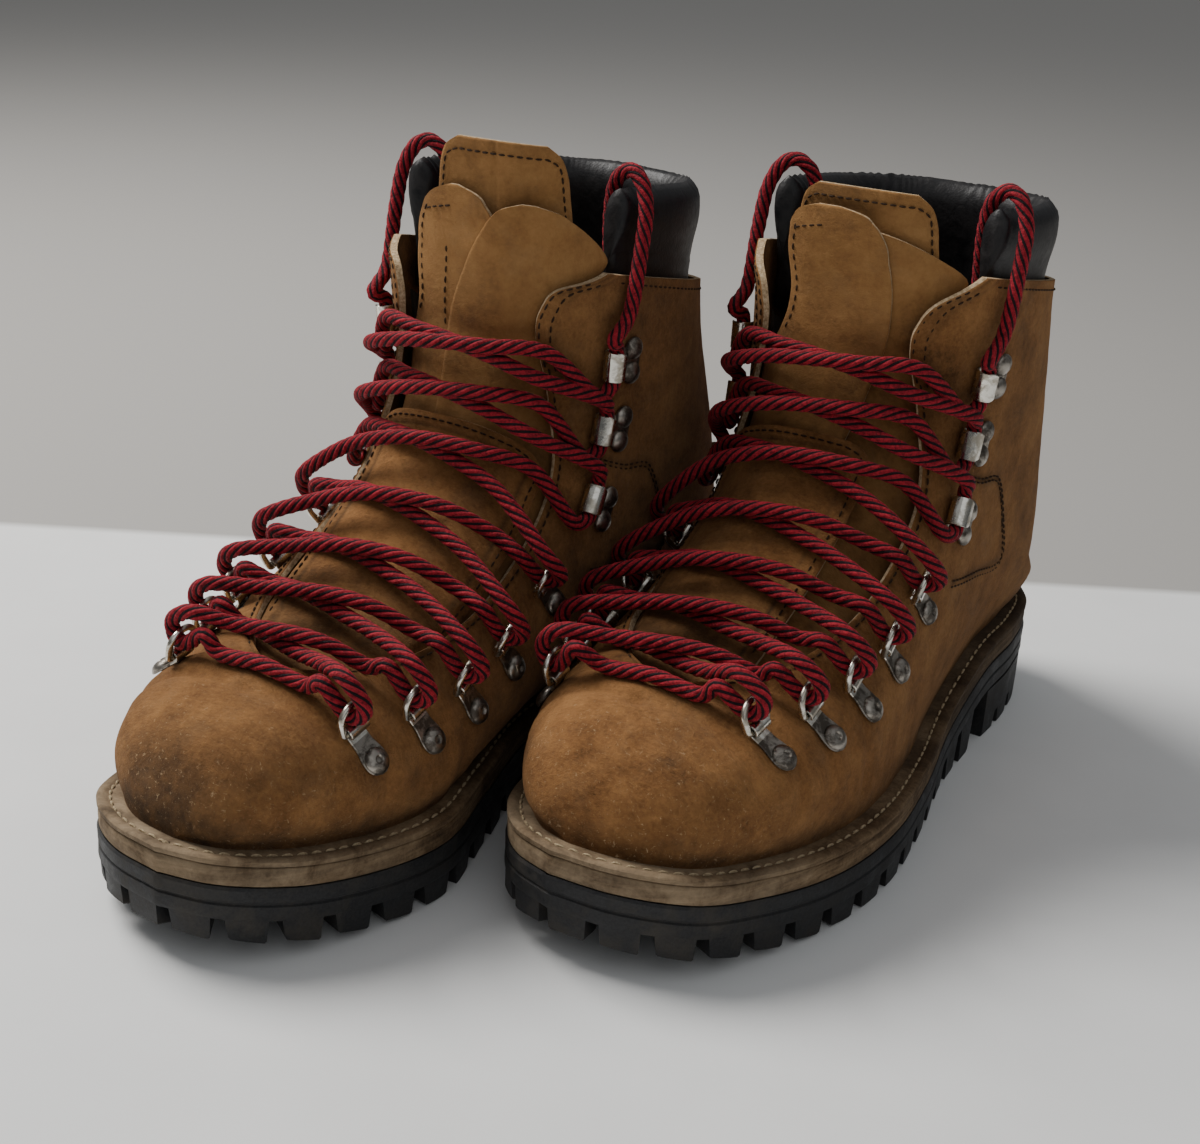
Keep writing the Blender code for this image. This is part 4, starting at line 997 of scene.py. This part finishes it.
def make_cover(foot):
    """Instep cover with a stitched border. Its bottom and sides go under the vamp and facings."""
    shape = [(0.25, 21), (0.32, 25), (0.40, 27.5), (0.50, 28), (0.538, 27.5), (0.550, 25.5), (0.5565, 22.5),
             (COVER_TOP, 18)]
    inner_share, outer_share = COVER_WIDTH[foot]

    def right(s):
        return table(s, shape) * outer_share

    def left(s):
        return -table(s, shape) * inner_share

    def out(s, a):
        under = smooth(np.abs(a) - throat(s), -5, 0)
        return -0.3 - 2.9 * np.maximum(1 - smooth(s, 0.30, 0.375), under)

    def relief(s, a):
        p = SURFACE.at(s, a)
        border = edge_band(left, right, COVER_TOP, s, a)
        return 0.55 * border + 0.45 * lumps(p, 17, 5) + 0.2 * lumps(p, 6, 7)

    def dirt_and_shade(s, a, p):
        # A dark line just inside the raised border, random dirt, and painted shade low down where the cover goes
        # under the vamp.
        border = edge_band(left, right, COVER_TOP, s, a, 0.0245, 7.0)
        edge = edge_band(left, right, COVER_TOP, s, a)
        low = 1 - smooth(s, 0.33, 0.40)
        return 0.75 * (border - edge) + 0.30 * np.clip(lumps(p, 20, 9), 0, 1) + 0.55 * low

    places = np.unique(np.r_[spaced(0.282, COVER_TOP, 0.004), 0.5515, 0.5535, 0.5555, 0.5575, 0.559])
    layer(foot, "cover_leather", places, left, right, 46, out, 1.7, "suede", "instep_cover", relief, dirt_and_shade)
    inner, top = 3.0, COVER_TOP - 0.0105
    rise = np.linspace(0.33, top - 0.006, 26)
    line = [(s, float(left(s)) + inner) for s in rise]
    line += [(top, a) for a in np.linspace(float(left(top)) + 8, float(right(top)) - 7, 12)]
    line += [(s, float(right(s)) - inner) for s in rise[::-1]]
    return surface_stitches(line, lambda s, a: out(s, a) + 0.65)


# The two edges of each flap, as (s, a). The over flap is the one on the inner side of the foot.
FLAPS = {
    "left": {
        "over": ([(0.285, -32), (0.36, -43), (0.456, -53), (0.57, -52), (0.66, -42), (0.74, -24), (0.82, -19),
                  (0.905, -22), (0.924, -20.5), (0.934, -16), (0.939, -9)],
                 [(0.285, 6), (0.50, 9), (0.66, 17), (0.75, 20.5), (0.88, 18.5), (0.912, 16), (0.926, 12),
                  (0.935, 6.5), (0.939, -1)]),
        "under": ([(0.285, -4), (0.50, -6), (0.70, -10), (0.90, -6), (0.92, 2)],
                  [(0.285, 32), (0.36, 43), (0.456, 53), (0.60, 51), (0.80, 39), (0.84, 44), (0.865, 51),
                   (0.880, 51), (0.888, 47), (0.898, 39), (0.908, 29), (0.916, 18), (0.92, 10)])},
    "right": {
        "over": ([(0.285, -32), (0.36, -43), (0.456, -53), (0.60, -51), (0.80, -39), (0.84, -46), (0.87, -56),
                  (0.885, -58), (0.897, -55), (0.91, -49), (0.921, -42), (0.928, -36), (0.932, -28)],
                 [(0.285, 5), (0.50, 7), (0.66, 7), (0.73, 6), (0.805, 3), (0.87, -3), (0.90, -7.5),
                  (0.915, -11), (0.926, -16), (0.932, -23)]),
        "under": ([(0.285, -20), (0.80, -20), (0.90, -13), (0.922, -8), (0.934, -3), (0.94, 4)],
                  [(0.285, 32), (0.36, 43), (0.456, 53), (0.57, 52), (0.66, 42), (0.75, 27), (0.86, 25.5),
                   (0.91, 23), (0.926, 19), (0.935, 13), (0.94, 7)])}}


def make_flaps(foot):
    """Two overlapping leather flaps that come out from under the facings."""

    def relief(s, a):
        p = SURFACE.at(s, a)
        return 0.6 * lumps(p, 24, 15) + 0.2 * lumps(p, 8, 17)

    def dirt_and_shade(s, a, p):
        # Random dirt, and painted shade on the part that lies under the instep cover.
        return 0.30 * np.clip(lumps(p, 26, 3), 0, 1) + 0.22 * (1 - smooth(s, 0.56, 0.62))

    for name, out, node in (("over", -3.9, "flap_inner"), ("under", -5.8, "flap_outer")):
        left, right = FLAPS[foot][name]
        top = left[-1][0]
        places = np.unique(np.r_[spaced(0.285, top - 0.012, 0.0055), np.linspace(top - 0.012, top, 9)])
        layer(foot, f"flap_{name}", places, lambda s: table(s, left), lambda s: table(s, right), 36, out, 1.3,
              "flap", node, relief, dirt_and_shade)
    if MIRRORED[foot]:
        rim, inwards, out = FLAPS[foot]["under"][1], -1, -5.6
    else:
        rim, inwards, out = FLAPS[foot]["over"][0], 1, -3.7
    line = [(s, float(table(s, rim)) + inwards * 3.2) for s in np.linspace(0.745, 0.916, 22)]
    end = line[-1][1]
    corner = [(0.912, end), (0.916, end + inwards * 6), (0.919, end + inwards * 12)]
    made = surface_stitches(line, out) + surface_stitches(corner, out, gap=0.5)
    if MIRRORED[foot]:
        made += surface_stitches([(0.72, 9), (0.79, 9.5), (0.865, 9)], out)
    return made


def make_tongue(foot):
    """Tall tongue that stands behind the flaps."""
    first, last, tall = TONGUE[foot]
    middle, half = (first + last) / 2, (last - first) / 2
    width = [(0.40, 0.75), (0.80, 1.0), (tall - 0.045, 1.0), (tall - 0.022, 0.95), (tall - 0.008, 0.84),
             (tall, 0.66)]

    def centre(s):
        return middle * np.clip((s - 0.4) * 3, 0.2, 1)

    def left(s):
        return centre(s) - half * table(s, width)

    def right(s):
        return centre(s) + half * table(s, width)

    def relief(s, a):
        p = SURFACE.at(s, a)
        border = edge_band(left, right, tall, s, a, 0.013, 3.0)
        seam = np.exp(-((a - middle - 4) / 0.9) ** 2)
        return 0.35 * border + 0.6 * lumps(p, 26, 21) - 0.5 * seam

    places = np.unique(np.r_[spaced(0.42, tall, 0.0055), tall - 0.008, tall - 0.005, tall - 0.002])
    layer(foot, "tongue_leather", places, left, right, 40, -8.7, 1.4, "flap", "tongue", relief,
          lambda s, a, p: 0.35 * np.clip(lumps(p, 20, 30), 0, 1))
    inside = tall - 0.012
    line = [(s, float(left(s)) + 3.2) for s in np.linspace(0.85, inside - 0.006, 12)]
    line += [(inside, a) for a in np.linspace(float(left(inside)) + 7, float(right(inside)) - 7, 9)]
    line += [(s, float(right(s)) - 3.2) for s in np.linspace(inside - 0.006, 0.85, 12)]
    return surface_stitches(line, -8.3, length=2.2, gap=0.8)


# ---- collar ----
def make_collar(foot):
    """Padded roll round the mouth, with gathers along its top."""
    seed = 2 if MIRRORED[foot] else 6
    profile = np.array([(0.80, -4.2), (0.86, -4.2), (0.905, -2.8), (0.93, -0.6), (0.945, -1.2),
                        (COLLAR_TOP, -4.5), (0.945, -8.5), (0.90, -9.5), (0.80, -8.5)])
    around = np.r_[profile, profile[:1]]
    along = np.r_[0, np.cumsum(np.hypot(np.diff(around[:, 0]) * 350, np.diff(around[:, 1])))]
    fine = np.linspace(0, along[-1], 57)[:-1]
    s, out = curve_through(fine, along, around[:, 0]), curve_through(fine, along, around[:, 1])
    start, count = 60.0, 150
    t = np.linspace(0, 1, count)
    middle = (float(np.mean(s)), float(np.mean(out)))
    grid = []
    for side in (1, -1):
        reach = float(SURFACE.reach(0.90, side)) - start
        d = reach * t
        shrink = np.sqrt(np.clip(1 - (1 - np.minimum(d / 5, 1)) ** 2, 0.04, 1))
        ss = middle[0] + (s[None] - middle[0]) * shrink[:, None]
        oo = middle[1] + (out[None] - middle[1]) * shrink[:, None]
        limit = SURFACE.reach(ss, side)
        a = side * (start + (limit - 0.01 - start) * t[:, None])
        base = SURFACE.at(ss, a, oo)
        top = smooth(ss, 0.905, 0.945)
        arc = d[:, None] + 9 * lumps(base, 14, seed)
        gather = np.sin(arc * 2 * math.pi / 4.6) * 0.34 + 0.5 * lumps(base, 4.5, seed + 3)
        puff = 0.7 * lumps(base, 22, seed + 5) + gather * top * (0.55 + 0.45 * np.sin(d[:, None] / 9))
        centre = SURFACE.at(np.full(ss.shape, middle[0]), a, np.full(ss.shape, middle[1]))
        away = base - centre
        away /= np.maximum(np.linalg.norm(away, axis=-1, keepdims=True), 1e-6)
        keep = np.where(oo > -3.5, 0.45, 1.0)
        grid.append(base + away * (puff * shrink[:, None] * keep - 0.25 - 0.8 * (oo > -3.5))[..., None])
    rows = np.concatenate([grid[0], grid[1][::-1][1:]])
    n, cols = rows.shape[1], rows.shape[0]
    faces = [[j * n + i, (j + 1) * n + i, (j + 1) * n + (i + 1) % n, j * n + (i + 1) % n]
             for j in range(cols - 1) for i in range(n)]
    faces += [list(range(n))[::-1], [(cols - 1) * n + i for i in range(n)]]
    points = rows.reshape(-1, 3)
    made = piece(f"{foot}_collar_padding", [(points, turned_out(points, faces), 0)], [MATS["collar"]], foot,
                 [f"{foot}_collar"], sharp=80)


# ---- lace hardware ----
class Seat:
    """Local axes on the upper: centre runs to the ridge, along runs up the facing, out is outwards."""

    def __init__(self, s, a):
        side = 1 if a > 0 else -1
        self.origin = SURFACE.at(s, a + side * 7)
        self.out = SURFACE.normal(s, a + side * 7)
        ahead = SURFACE.on(s + 0.012, a) - SURFACE.on(s - 0.012, a)
        ahead = ahead - self.out * float(ahead @ self.out)
        self.along = ahead / np.linalg.norm(ahead)
        self.centre = np.cross(self.along, self.out) * side
        if float(self.centre @ (SURFACE.on(s, a - side * 4) - SURFACE.on(s, a))) < 0:
            self.centre = -self.centre
        self.origin = self.origin + self.centre * 7

    def point(self, centre, along, out):
        return self.origin + self.centre * centre + self.along * along + self.out * out


def ribbon(seat, line, halves, thick, bright):
    """Metal strip along a line of (centre, out), one half width for each place. From bright on it is brighter."""
    line = np.array(line, float)
    d = np.gradient(line, axis=0)
    d /= np.linalg.norm(d, axis=1, keepdims=True)
    normal = np.stack([-d[:, 1], d[:, 0]], 1)
    soft = 0.25
    rings = []
    for (c, o), (nc, no), half in zip(line, normal, halves):
        ring = []
        for u, w in ((-half + soft, thick / 2), (half - soft, thick / 2), (half, thick / 2 - soft),
                     (half, soft - thick / 2), (half - soft, -thick / 2), (soft - half, -thick / 2),
                     (-half, soft - thick / 2), (-half, thick / 2 - soft)):
            ring.append(seat.point(c + nc * w, u, o + no * w))
        rings.append(ring)
    points, faces, _ = loft(rings)
    kinds = [1 if i >= bright else 0 for i in range(len(rings) - 1) for k in rings[0]]
    return points, faces, kinds + [0, 1]


def rivet_head(seat, centre, along, radius, dimple):
    profile = [(radius, 0.0), (radius, 0.45), (radius * 0.95, 0.95), (radius * 0.78, 1.6),
               (radius * 0.55, 2.05)]
    profile += [(1.5, 2.2), (1.05, 1.95), (0.8, 1.45)] if dimple else [(radius * 0.25, 2.3)]
    sides = 28
    angles = np.arange(sides) * 2 * math.pi / sides
    points = [seat.point(centre + r * math.cos(v), along + r * math.sin(v), GAP + 0.5 + h)
              for r, h in profile for v in angles]
    points.append(seat.point(centre, along, GAP + 0.5 + (1.4 if dimple else 2.4)))
    n = len(profile)
    faces = strip(n, sides)
    faces += [[(n - 1) * sides + k, (n - 1) * sides + (k + 1) % sides, n * sides] for k in range(sides)]
    faces += [list(range(sides))[::-1]]
    return np.array(points), turned_out(points, faces), 0


def ring_strap(seat):
    angles = np.radians(np.linspace(-90, 165, 18))
    radius = 1.9
    ends = np.linspace(-16.4, -0.6, 16)
    line = [(c, GAP + 0.4) for c in ends]
    line += [(radius * math.cos(v), GAP + 2.3 + radius * math.sin(v)) for v in angles]
    halves = [math.sqrt(max(0.4, 4.5 ** 2 - min(0, c + 12.0) ** 2)) for c in ends]
    halves = [h if c < -11 else 4.5 - 0.9 * smooth(c, -11, -5) for h, c in zip(halves, ends)]
    halves += [4.1] * len(angles)
    return ribbon(seat, line, halves, 0.8, 12)


def hook_strap(seat):
    angles = np.radians(np.linspace(-90, 112, 22))
    radius = HOOK_RADIUS - 0.4
    ends = np.linspace(-15.5, -0.8, 12)
    line = [(c, GAP + 0.4) for c in ends]
    line += [(radius * math.cos(v), GAP + HOOK_RADIUS + radius * math.sin(v)) for v in angles]
    halves = [4.6 + 0.4 * float(smooth(c, -9, -3)) - 2.0 * float(smooth(-c, 13, 15.6)) for c in ends]
    halves += [5.0 - 0.8 * float(smooth(v, 1.2, 2.0)) for v in angles]
    return ribbon(seat, line, halves, 0.8, 8)


def make_ring(foot, word, k, seat):
    """D-shaped wire ring: a straight bar inside the loop of its strap and a round bow."""
    half, depth = RING_WIDTH / 2, RING_DEPTH
    bar = seat.point(0, 0, GAP + 2.3)
    reach = seat.centre * math.cos(RING_TILT) + seat.out * math.sin(RING_TILT)
    soft = 1.1
    inner = half - soft
    flat = [(u, 0.0) for u in np.linspace(-inner, inner, 7)]
    flat += [(inner + soft * math.sin(v), soft - soft * math.cos(v)) for v in np.linspace(0.3, 1.57, 5)]
    flat += [(half * math.cos(v), depth - 4.6 + 4.6 * math.sin(v)) for v in np.linspace(0, math.pi, 22)]
    flat += [(-inner - soft * math.sin(v), soft - soft * math.cos(v)) for v in np.linspace(1.57, 0.3, 5)]
    path = [bar + seat.along * u + reach * v for u, v in flat]
    points, faces = closed_tube(path, WIRE_RADIUS, 14, np.cross(seat.along, reach))
    piece(f"{foot}_{word}_ring_wire_{k}", [(points, faces, 0)], [MATS["nickel"]], foot,
          [f"{foot}_ring_{word}_{k}"], body=f"{foot}_{word}_ring_{k}", sharp=60)


def make_hardware(foot):
    """Both rows of a boot: five straps with rings, then three speed hooks."""
    for side, word in ((1, "outer"), (-1, "inner")):
        parts = []
        for k, (s, a) in enumerate(RINGS):
            seat = Seat(s, side * a)
            parts += [ring_strap(seat), rivet_head(seat, -12.0, 0.0, 4.2, True)]
            make_ring(foot, word, k + 1, seat)
        for s, a in HOOKS:
            seat = Seat(s, side * a)
            parts.append(hook_strap(seat))
            parts += [rivet_head(seat, -12.0, along, 3.9, False) for along in (4.2, -4.2)]
        piece(f"{foot}_{word}_fittings", parts, [MATS["steel"], MATS["nickel"]], foot,
              [f"{foot}_hardware_{word}"], sharp=35)


# ---- laces ----
def ring_turn(seat):
    """Lace through a ring: in under the bow, round it and out over it."""
    bow = (RING_DEPTH * math.cos(RING_TILT), GAP + 2.3 + RING_DEPTH * math.sin(RING_TILT))
    round_bow = [(bow[0] + r * math.cos(math.radians(v)), t, bow[1] + r * math.sin(math.radians(v)))
                 for v, r, t in ((-78, 4.4, -0.9), (-125, 4.4, -0.8), (-172, 4.5, 0), (140, 4.5, 0.7),
                                 (92, 4.5, 0.9))]
    return [seat.point(*p) for p in [(17, -1.2, 4.0)] + round_bow + [(15, 1.5, 11.6)]]


def hook_turn(seat):
    """Lace in at the bottom of a hook, along its channel and out at the top."""
    middle = GAP + HOOK_RADIUS
    return [seat.point(c, t, o) for c, t, o in (
        (6.5, -9.5, middle - 0.2), (1.4, -7.6, middle), (0, -5.0, middle), (0, 5.0, middle),
        (0.6, 7.2, middle), (4.6, 9.8, middle + 2.4))]


def crossing(low, high, side, over):
    """Surface points of a strand from one side of row low to the other side of row high."""
    (s0, a0), (s1, a1) = low, high
    heights = (10.2, 9.4, 9.0, 7.8, 5.2) if over else (7.4, 4.2, 3.7, 3.7, 3.8)
    points = []
    for u, out in zip((0.25, 0.38, 0.50, 0.63, 0.78), heights):
        a = side * (a0 + (-a1 - a0) * u)
        points.append(SURFACE.at(s0 + (s1 - s0) * u, a, out))
    return points


def climb(side, over):
    """Half of the lacing, from the lowest ring on one side up to its end inside the boot."""
    rows = RINGS + HOOKS
    points = []
    for k, (s, a) in enumerate(rows):
        seat = Seat(s, side * a)
        points += ring_turn(seat) if k < len(RINGS) else hook_turn(seat)
        if k + 1 < len(rows):
            points += crossing(rows[k], rows[k + 1], side, over)
            side, over = -side, not over
    for s, a, out in ((0.82, 60, 5.0), (0.90, 65, 4.2), (0.94, 68, 3.4), (0.961, 69.5, -0.4),
                      (0.9665, 70.5, -5.0), (0.957, 71.5, -10.8), (0.93, 72.5, -13.8), (0.82, 75, -13.5),
                      (0.73, 78, -12)):
        points.append(SURFACE.at(s, side * a, out))
    return points


def lace_route(foot):
    """Points of the whole lace, from one end to the other."""
    first = 1 if MIRRORED[foot] else -1
    rising, falling = climb(first, True), climb(-first, False)
    s, a = RINGS[0]
    bar = [SURFACE.at(s - 0.006, first * a * (1 - 2 * u), 4.2) for u in (0.75, 0.5, 0.25)]
    return falling[::-1] + bar + rising


def make_lace(foot):
    """Round cord of twisted crimson and dark strands, with a metal tip on each end."""
    path = resample(lace_route(foot), 1.1)
    step = float(np.linalg.norm(path[1] - path[0]))
    per, n = len(STRAND_TURNS), len(path)
    sides = per * STRAND_PAIRS
    turns = np.concatenate([(k + STRAND_TURNS) / STRAND_PAIRS for k in range(STRAND_PAIRS)])
    factors = np.tile(STRAND_RADII, STRAND_PAIRS)
    twist = 1 if MIRRORED[foot] else -1
    u, v = carried(path)
    along = np.arange(n) * step
    phase = 2 * math.pi * (turns[None] + twist * along[:, None] / LAY_LENGTH)
    radii = DRAWN_LACE_RADIUS * factors * (1 + 0.012 * np.sin(along / 3.1))[:, None]
    points = (path[:, None] + u[:, None] * (np.cos(phase) * radii)[..., None]
              + v[:, None] * (np.sin(phase) * radii)[..., None])
    faces = strip(n, sides) + end_caps(n, sides)
    kinds = [0 if k % per < CRIMSON_SIDES else 1 for i in range(n - 1) for k in range(sides)] + [1, 1]
    cord = piece(f"{foot}_lace_cord", [(points.reshape(-1, 3), faces, kinds)], [MATS["red"], MATS["black"]],
                 foot, [f"{foot}_lace"], sharp=80)
    rows = int(AGLET / step)
    for k, run in enumerate((path[:rows], path[-rows:])):
        made, sheath = tube(run, DRAWN_LACE_RADIUS + 0.3, 20)
        piece(f"{foot}_lace_tip_{k + 1}", [(made, sheath, 0)], [MATS["aglet"]], foot)
    world = to_world(path[::3], foot)
    tuple(float(x) for x in world[0])


# ---- stitching ----
def make_stitches(foot, more):
    """Dark seams of one boot, together with those that the throat layers made."""
    parts = list(more)
    for side in (1, -1):
        for shift in (0.0, 2.0):
            line = [(s - shift * 0.0028, side * a) for s, a in BACK_SEAM]
            for run in (line[:4], line[3:]):
                parts += surface_stitches(run, 0.05, length=2.2, gap=0.8)
        low = [(s, side * (float(throat(s)) + 2.2)) for s in np.linspace(0.285, 0.70, 46)]
        parts += surface_stitches(low, 0.15)
        for offset in (1.0, 4.9):
            band = [(float(lowered_top(s, foot)), side * (float(throat(s)) + offset))
                    for s in np.linspace(0.70, 0.865, 20)]
            parts += surface_stitches(band, 0.55)
        top = UPPER_TOP - 0.0105 - TOP_DROP[foot]
        reach = float(SURFACE.reach(top, side))
        parts += surface_stitches([(top, side * a) for a in np.linspace(60, reach - 8, 18)], 0.05)
    for side in (1, -1):
        line = [(s, side * (float(SURFACE.reach(s, side)) - backstay_half(s) + 1.8))
                for s in np.linspace(0.69, 0.86, 16)]
        parts += surface_stitches(line, 1.6)
    piece(f"{foot}_stitching", parts, [MATS["thread"]], foot, sharp=80)


for foot in MIRRORED:
    make_sole(foot)
    make_heel(foot)
    make_inside(foot)
    make_upper(foot)
    make_backstay(foot)
    sewn = make_cover(foot) + make_flaps(foot) + make_tongue(foot)
    make_stitches(foot, sewn)
    make_collar(foot)
    make_hardware(foot)
    make_lace(foot)


# ---- stage, light and camera ----
AZIMUTH, ELEVATION, ROLL = 0.549815, 0.375995, 0.058019
TARGET = Vector((-0.023395, 0.015024, 0.068237))
DISTANCE, LENS, SENSOR = 0.660935, 54.378, 36.0
FORWARD = (-math.sin(AZIMUTH), math.cos(AZIMUTH))
FLOOR_SIZE = 6
# Past this distance from the origin, straight ahead of the camera, the floor is darker.
BACK_LINE = 0.215


def floor_material():
    """Pale studio floor with a darker tone behind the boots."""
    sh = Shader("studio_floor", 0.7, Specular_IOR_Level=0.2)
    parts = sh.tree.nodes.new("ShaderNodeSeparateXYZ")
    sh.tree.links.new(sh.coords, parts.inputs[0])
    ahead = sh.total((parts.outputs[0], FORWARD[0]), (parts.outputs[1], FORWARD[1]))
    edge = sh.ramp(sh.math("ADD", ahead, 0.5 - BACK_LINE), (0.497, 0.0), (0.503, 1.0))
    tone = sh.noise(60, 3, 0.5)
    near = sh.ramp(tone, (0.3, (0.80, 0.80, 0.79)), (0.7, (0.84, 0.84, 0.83)))
    return sh.done(sh.mix(edge, near, (0.40, 0.385, 0.365)), sh.bump(sh.noise(1.5, 3, 0.5), 0.05, 0.3))


mesh = bpy.data.meshes.new("studio_floor")
corners = [(x * FLOOR_SIZE, y * FLOOR_SIZE, 0) for x, y in ((-1, -1), (1, -1), (1, 1), (-1, 1))]
mesh.from_pydata(corners, [], [[0, 1, 2, 3]])
mesh.materials.append(floor_material())
floor = bpy.data.objects.new("studio_floor", mesh)
bpy.context.scene.collection.objects.link(floor)


def area_light(name, place, size, watts, colour):
    lamp = bpy.data.lights.new(name, "AREA")
    lamp.shape, lamp.size, lamp.energy, lamp.color = "DISK", size, watts, colour
    obj = bpy.data.objects.new(name, lamp)
    obj.location = place
    obj.rotation_mode = "QUATERNION"
    obj.rotation_quaternion = (TARGET - obj.location).to_track_quat("-Z", "Y")
    bpy.context.scene.collection.objects.link(obj)


ahead, across = Vector((*FORWARD, 0)), Vector((math.cos(AZIMUTH), math.sin(AZIMUTH), 0))
key_place = TARGET - across * 0.95 + ahead * 0.45 + Vector((0, 0, 1.35))
fill_place = TARGET + across * 0.4 - ahead * 1.6 + Vector((0, 0, 1.0))
area_light("key_light", key_place, 1.0, 39, (1.0, 0.98, 0.95))
area_light("fill_light", fill_place, 1.8, 3.5, (0.95, 0.97, 1.0))

world = bpy.data.worlds.new("studio_world")
world.use_nodes = True
sky = world.node_tree
height = sky.nodes.new("ShaderNodeSeparateXYZ")
shade = sky.nodes.new("ShaderNodeValToRGB")
sky.links.new(sky.nodes.new("ShaderNodeTexCoord").outputs["Generated"], height.inputs[0])
sky.links.new(height.outputs[2], shade.inputs[0])
sky.links.new(shade.outputs[0], sky.nodes["Background"].inputs["Color"])
shade.color_ramp.elements[0].color = (0.10, 0.105, 0.11, 1)
shade.color_ramp.elements[1].color = (0.78, 0.80, 0.82, 1)
sky.nodes["Background"].inputs["Strength"].default_value = 0.55
bpy.context.scene.world = world

camera_data = bpy.data.cameras.new("camera")
camera_data.lens, camera_data.sensor_width = LENS, SENSOR
camera_data.clip_start, camera_data.clip_end = 0.02, 50
camera = bpy.data.objects.new("camera", camera_data)
back = Vector((math.sin(AZIMUTH) * math.cos(ELEVATION), -math.cos(AZIMUTH) * math.cos(ELEVATION),
               math.sin(ELEVATION)))
right = (-back).cross(Vector((0, 0, 1))).normalized()
up = right.cross(-back)
turned_right = math.cos(ROLL) * right + math.sin(ROLL) * up
turned_up = -math.sin(ROLL) * right + math.cos(ROLL) * up
spin = Matrix((turned_right, turned_up, back)).transposed()
camera.matrix_world = Matrix.Translation(TARGET + back * DISTANCE) @ spin.to_4x4()
bpy.context.scene.collection.objects.link(camera)
bpy.context.scene.camera = camera
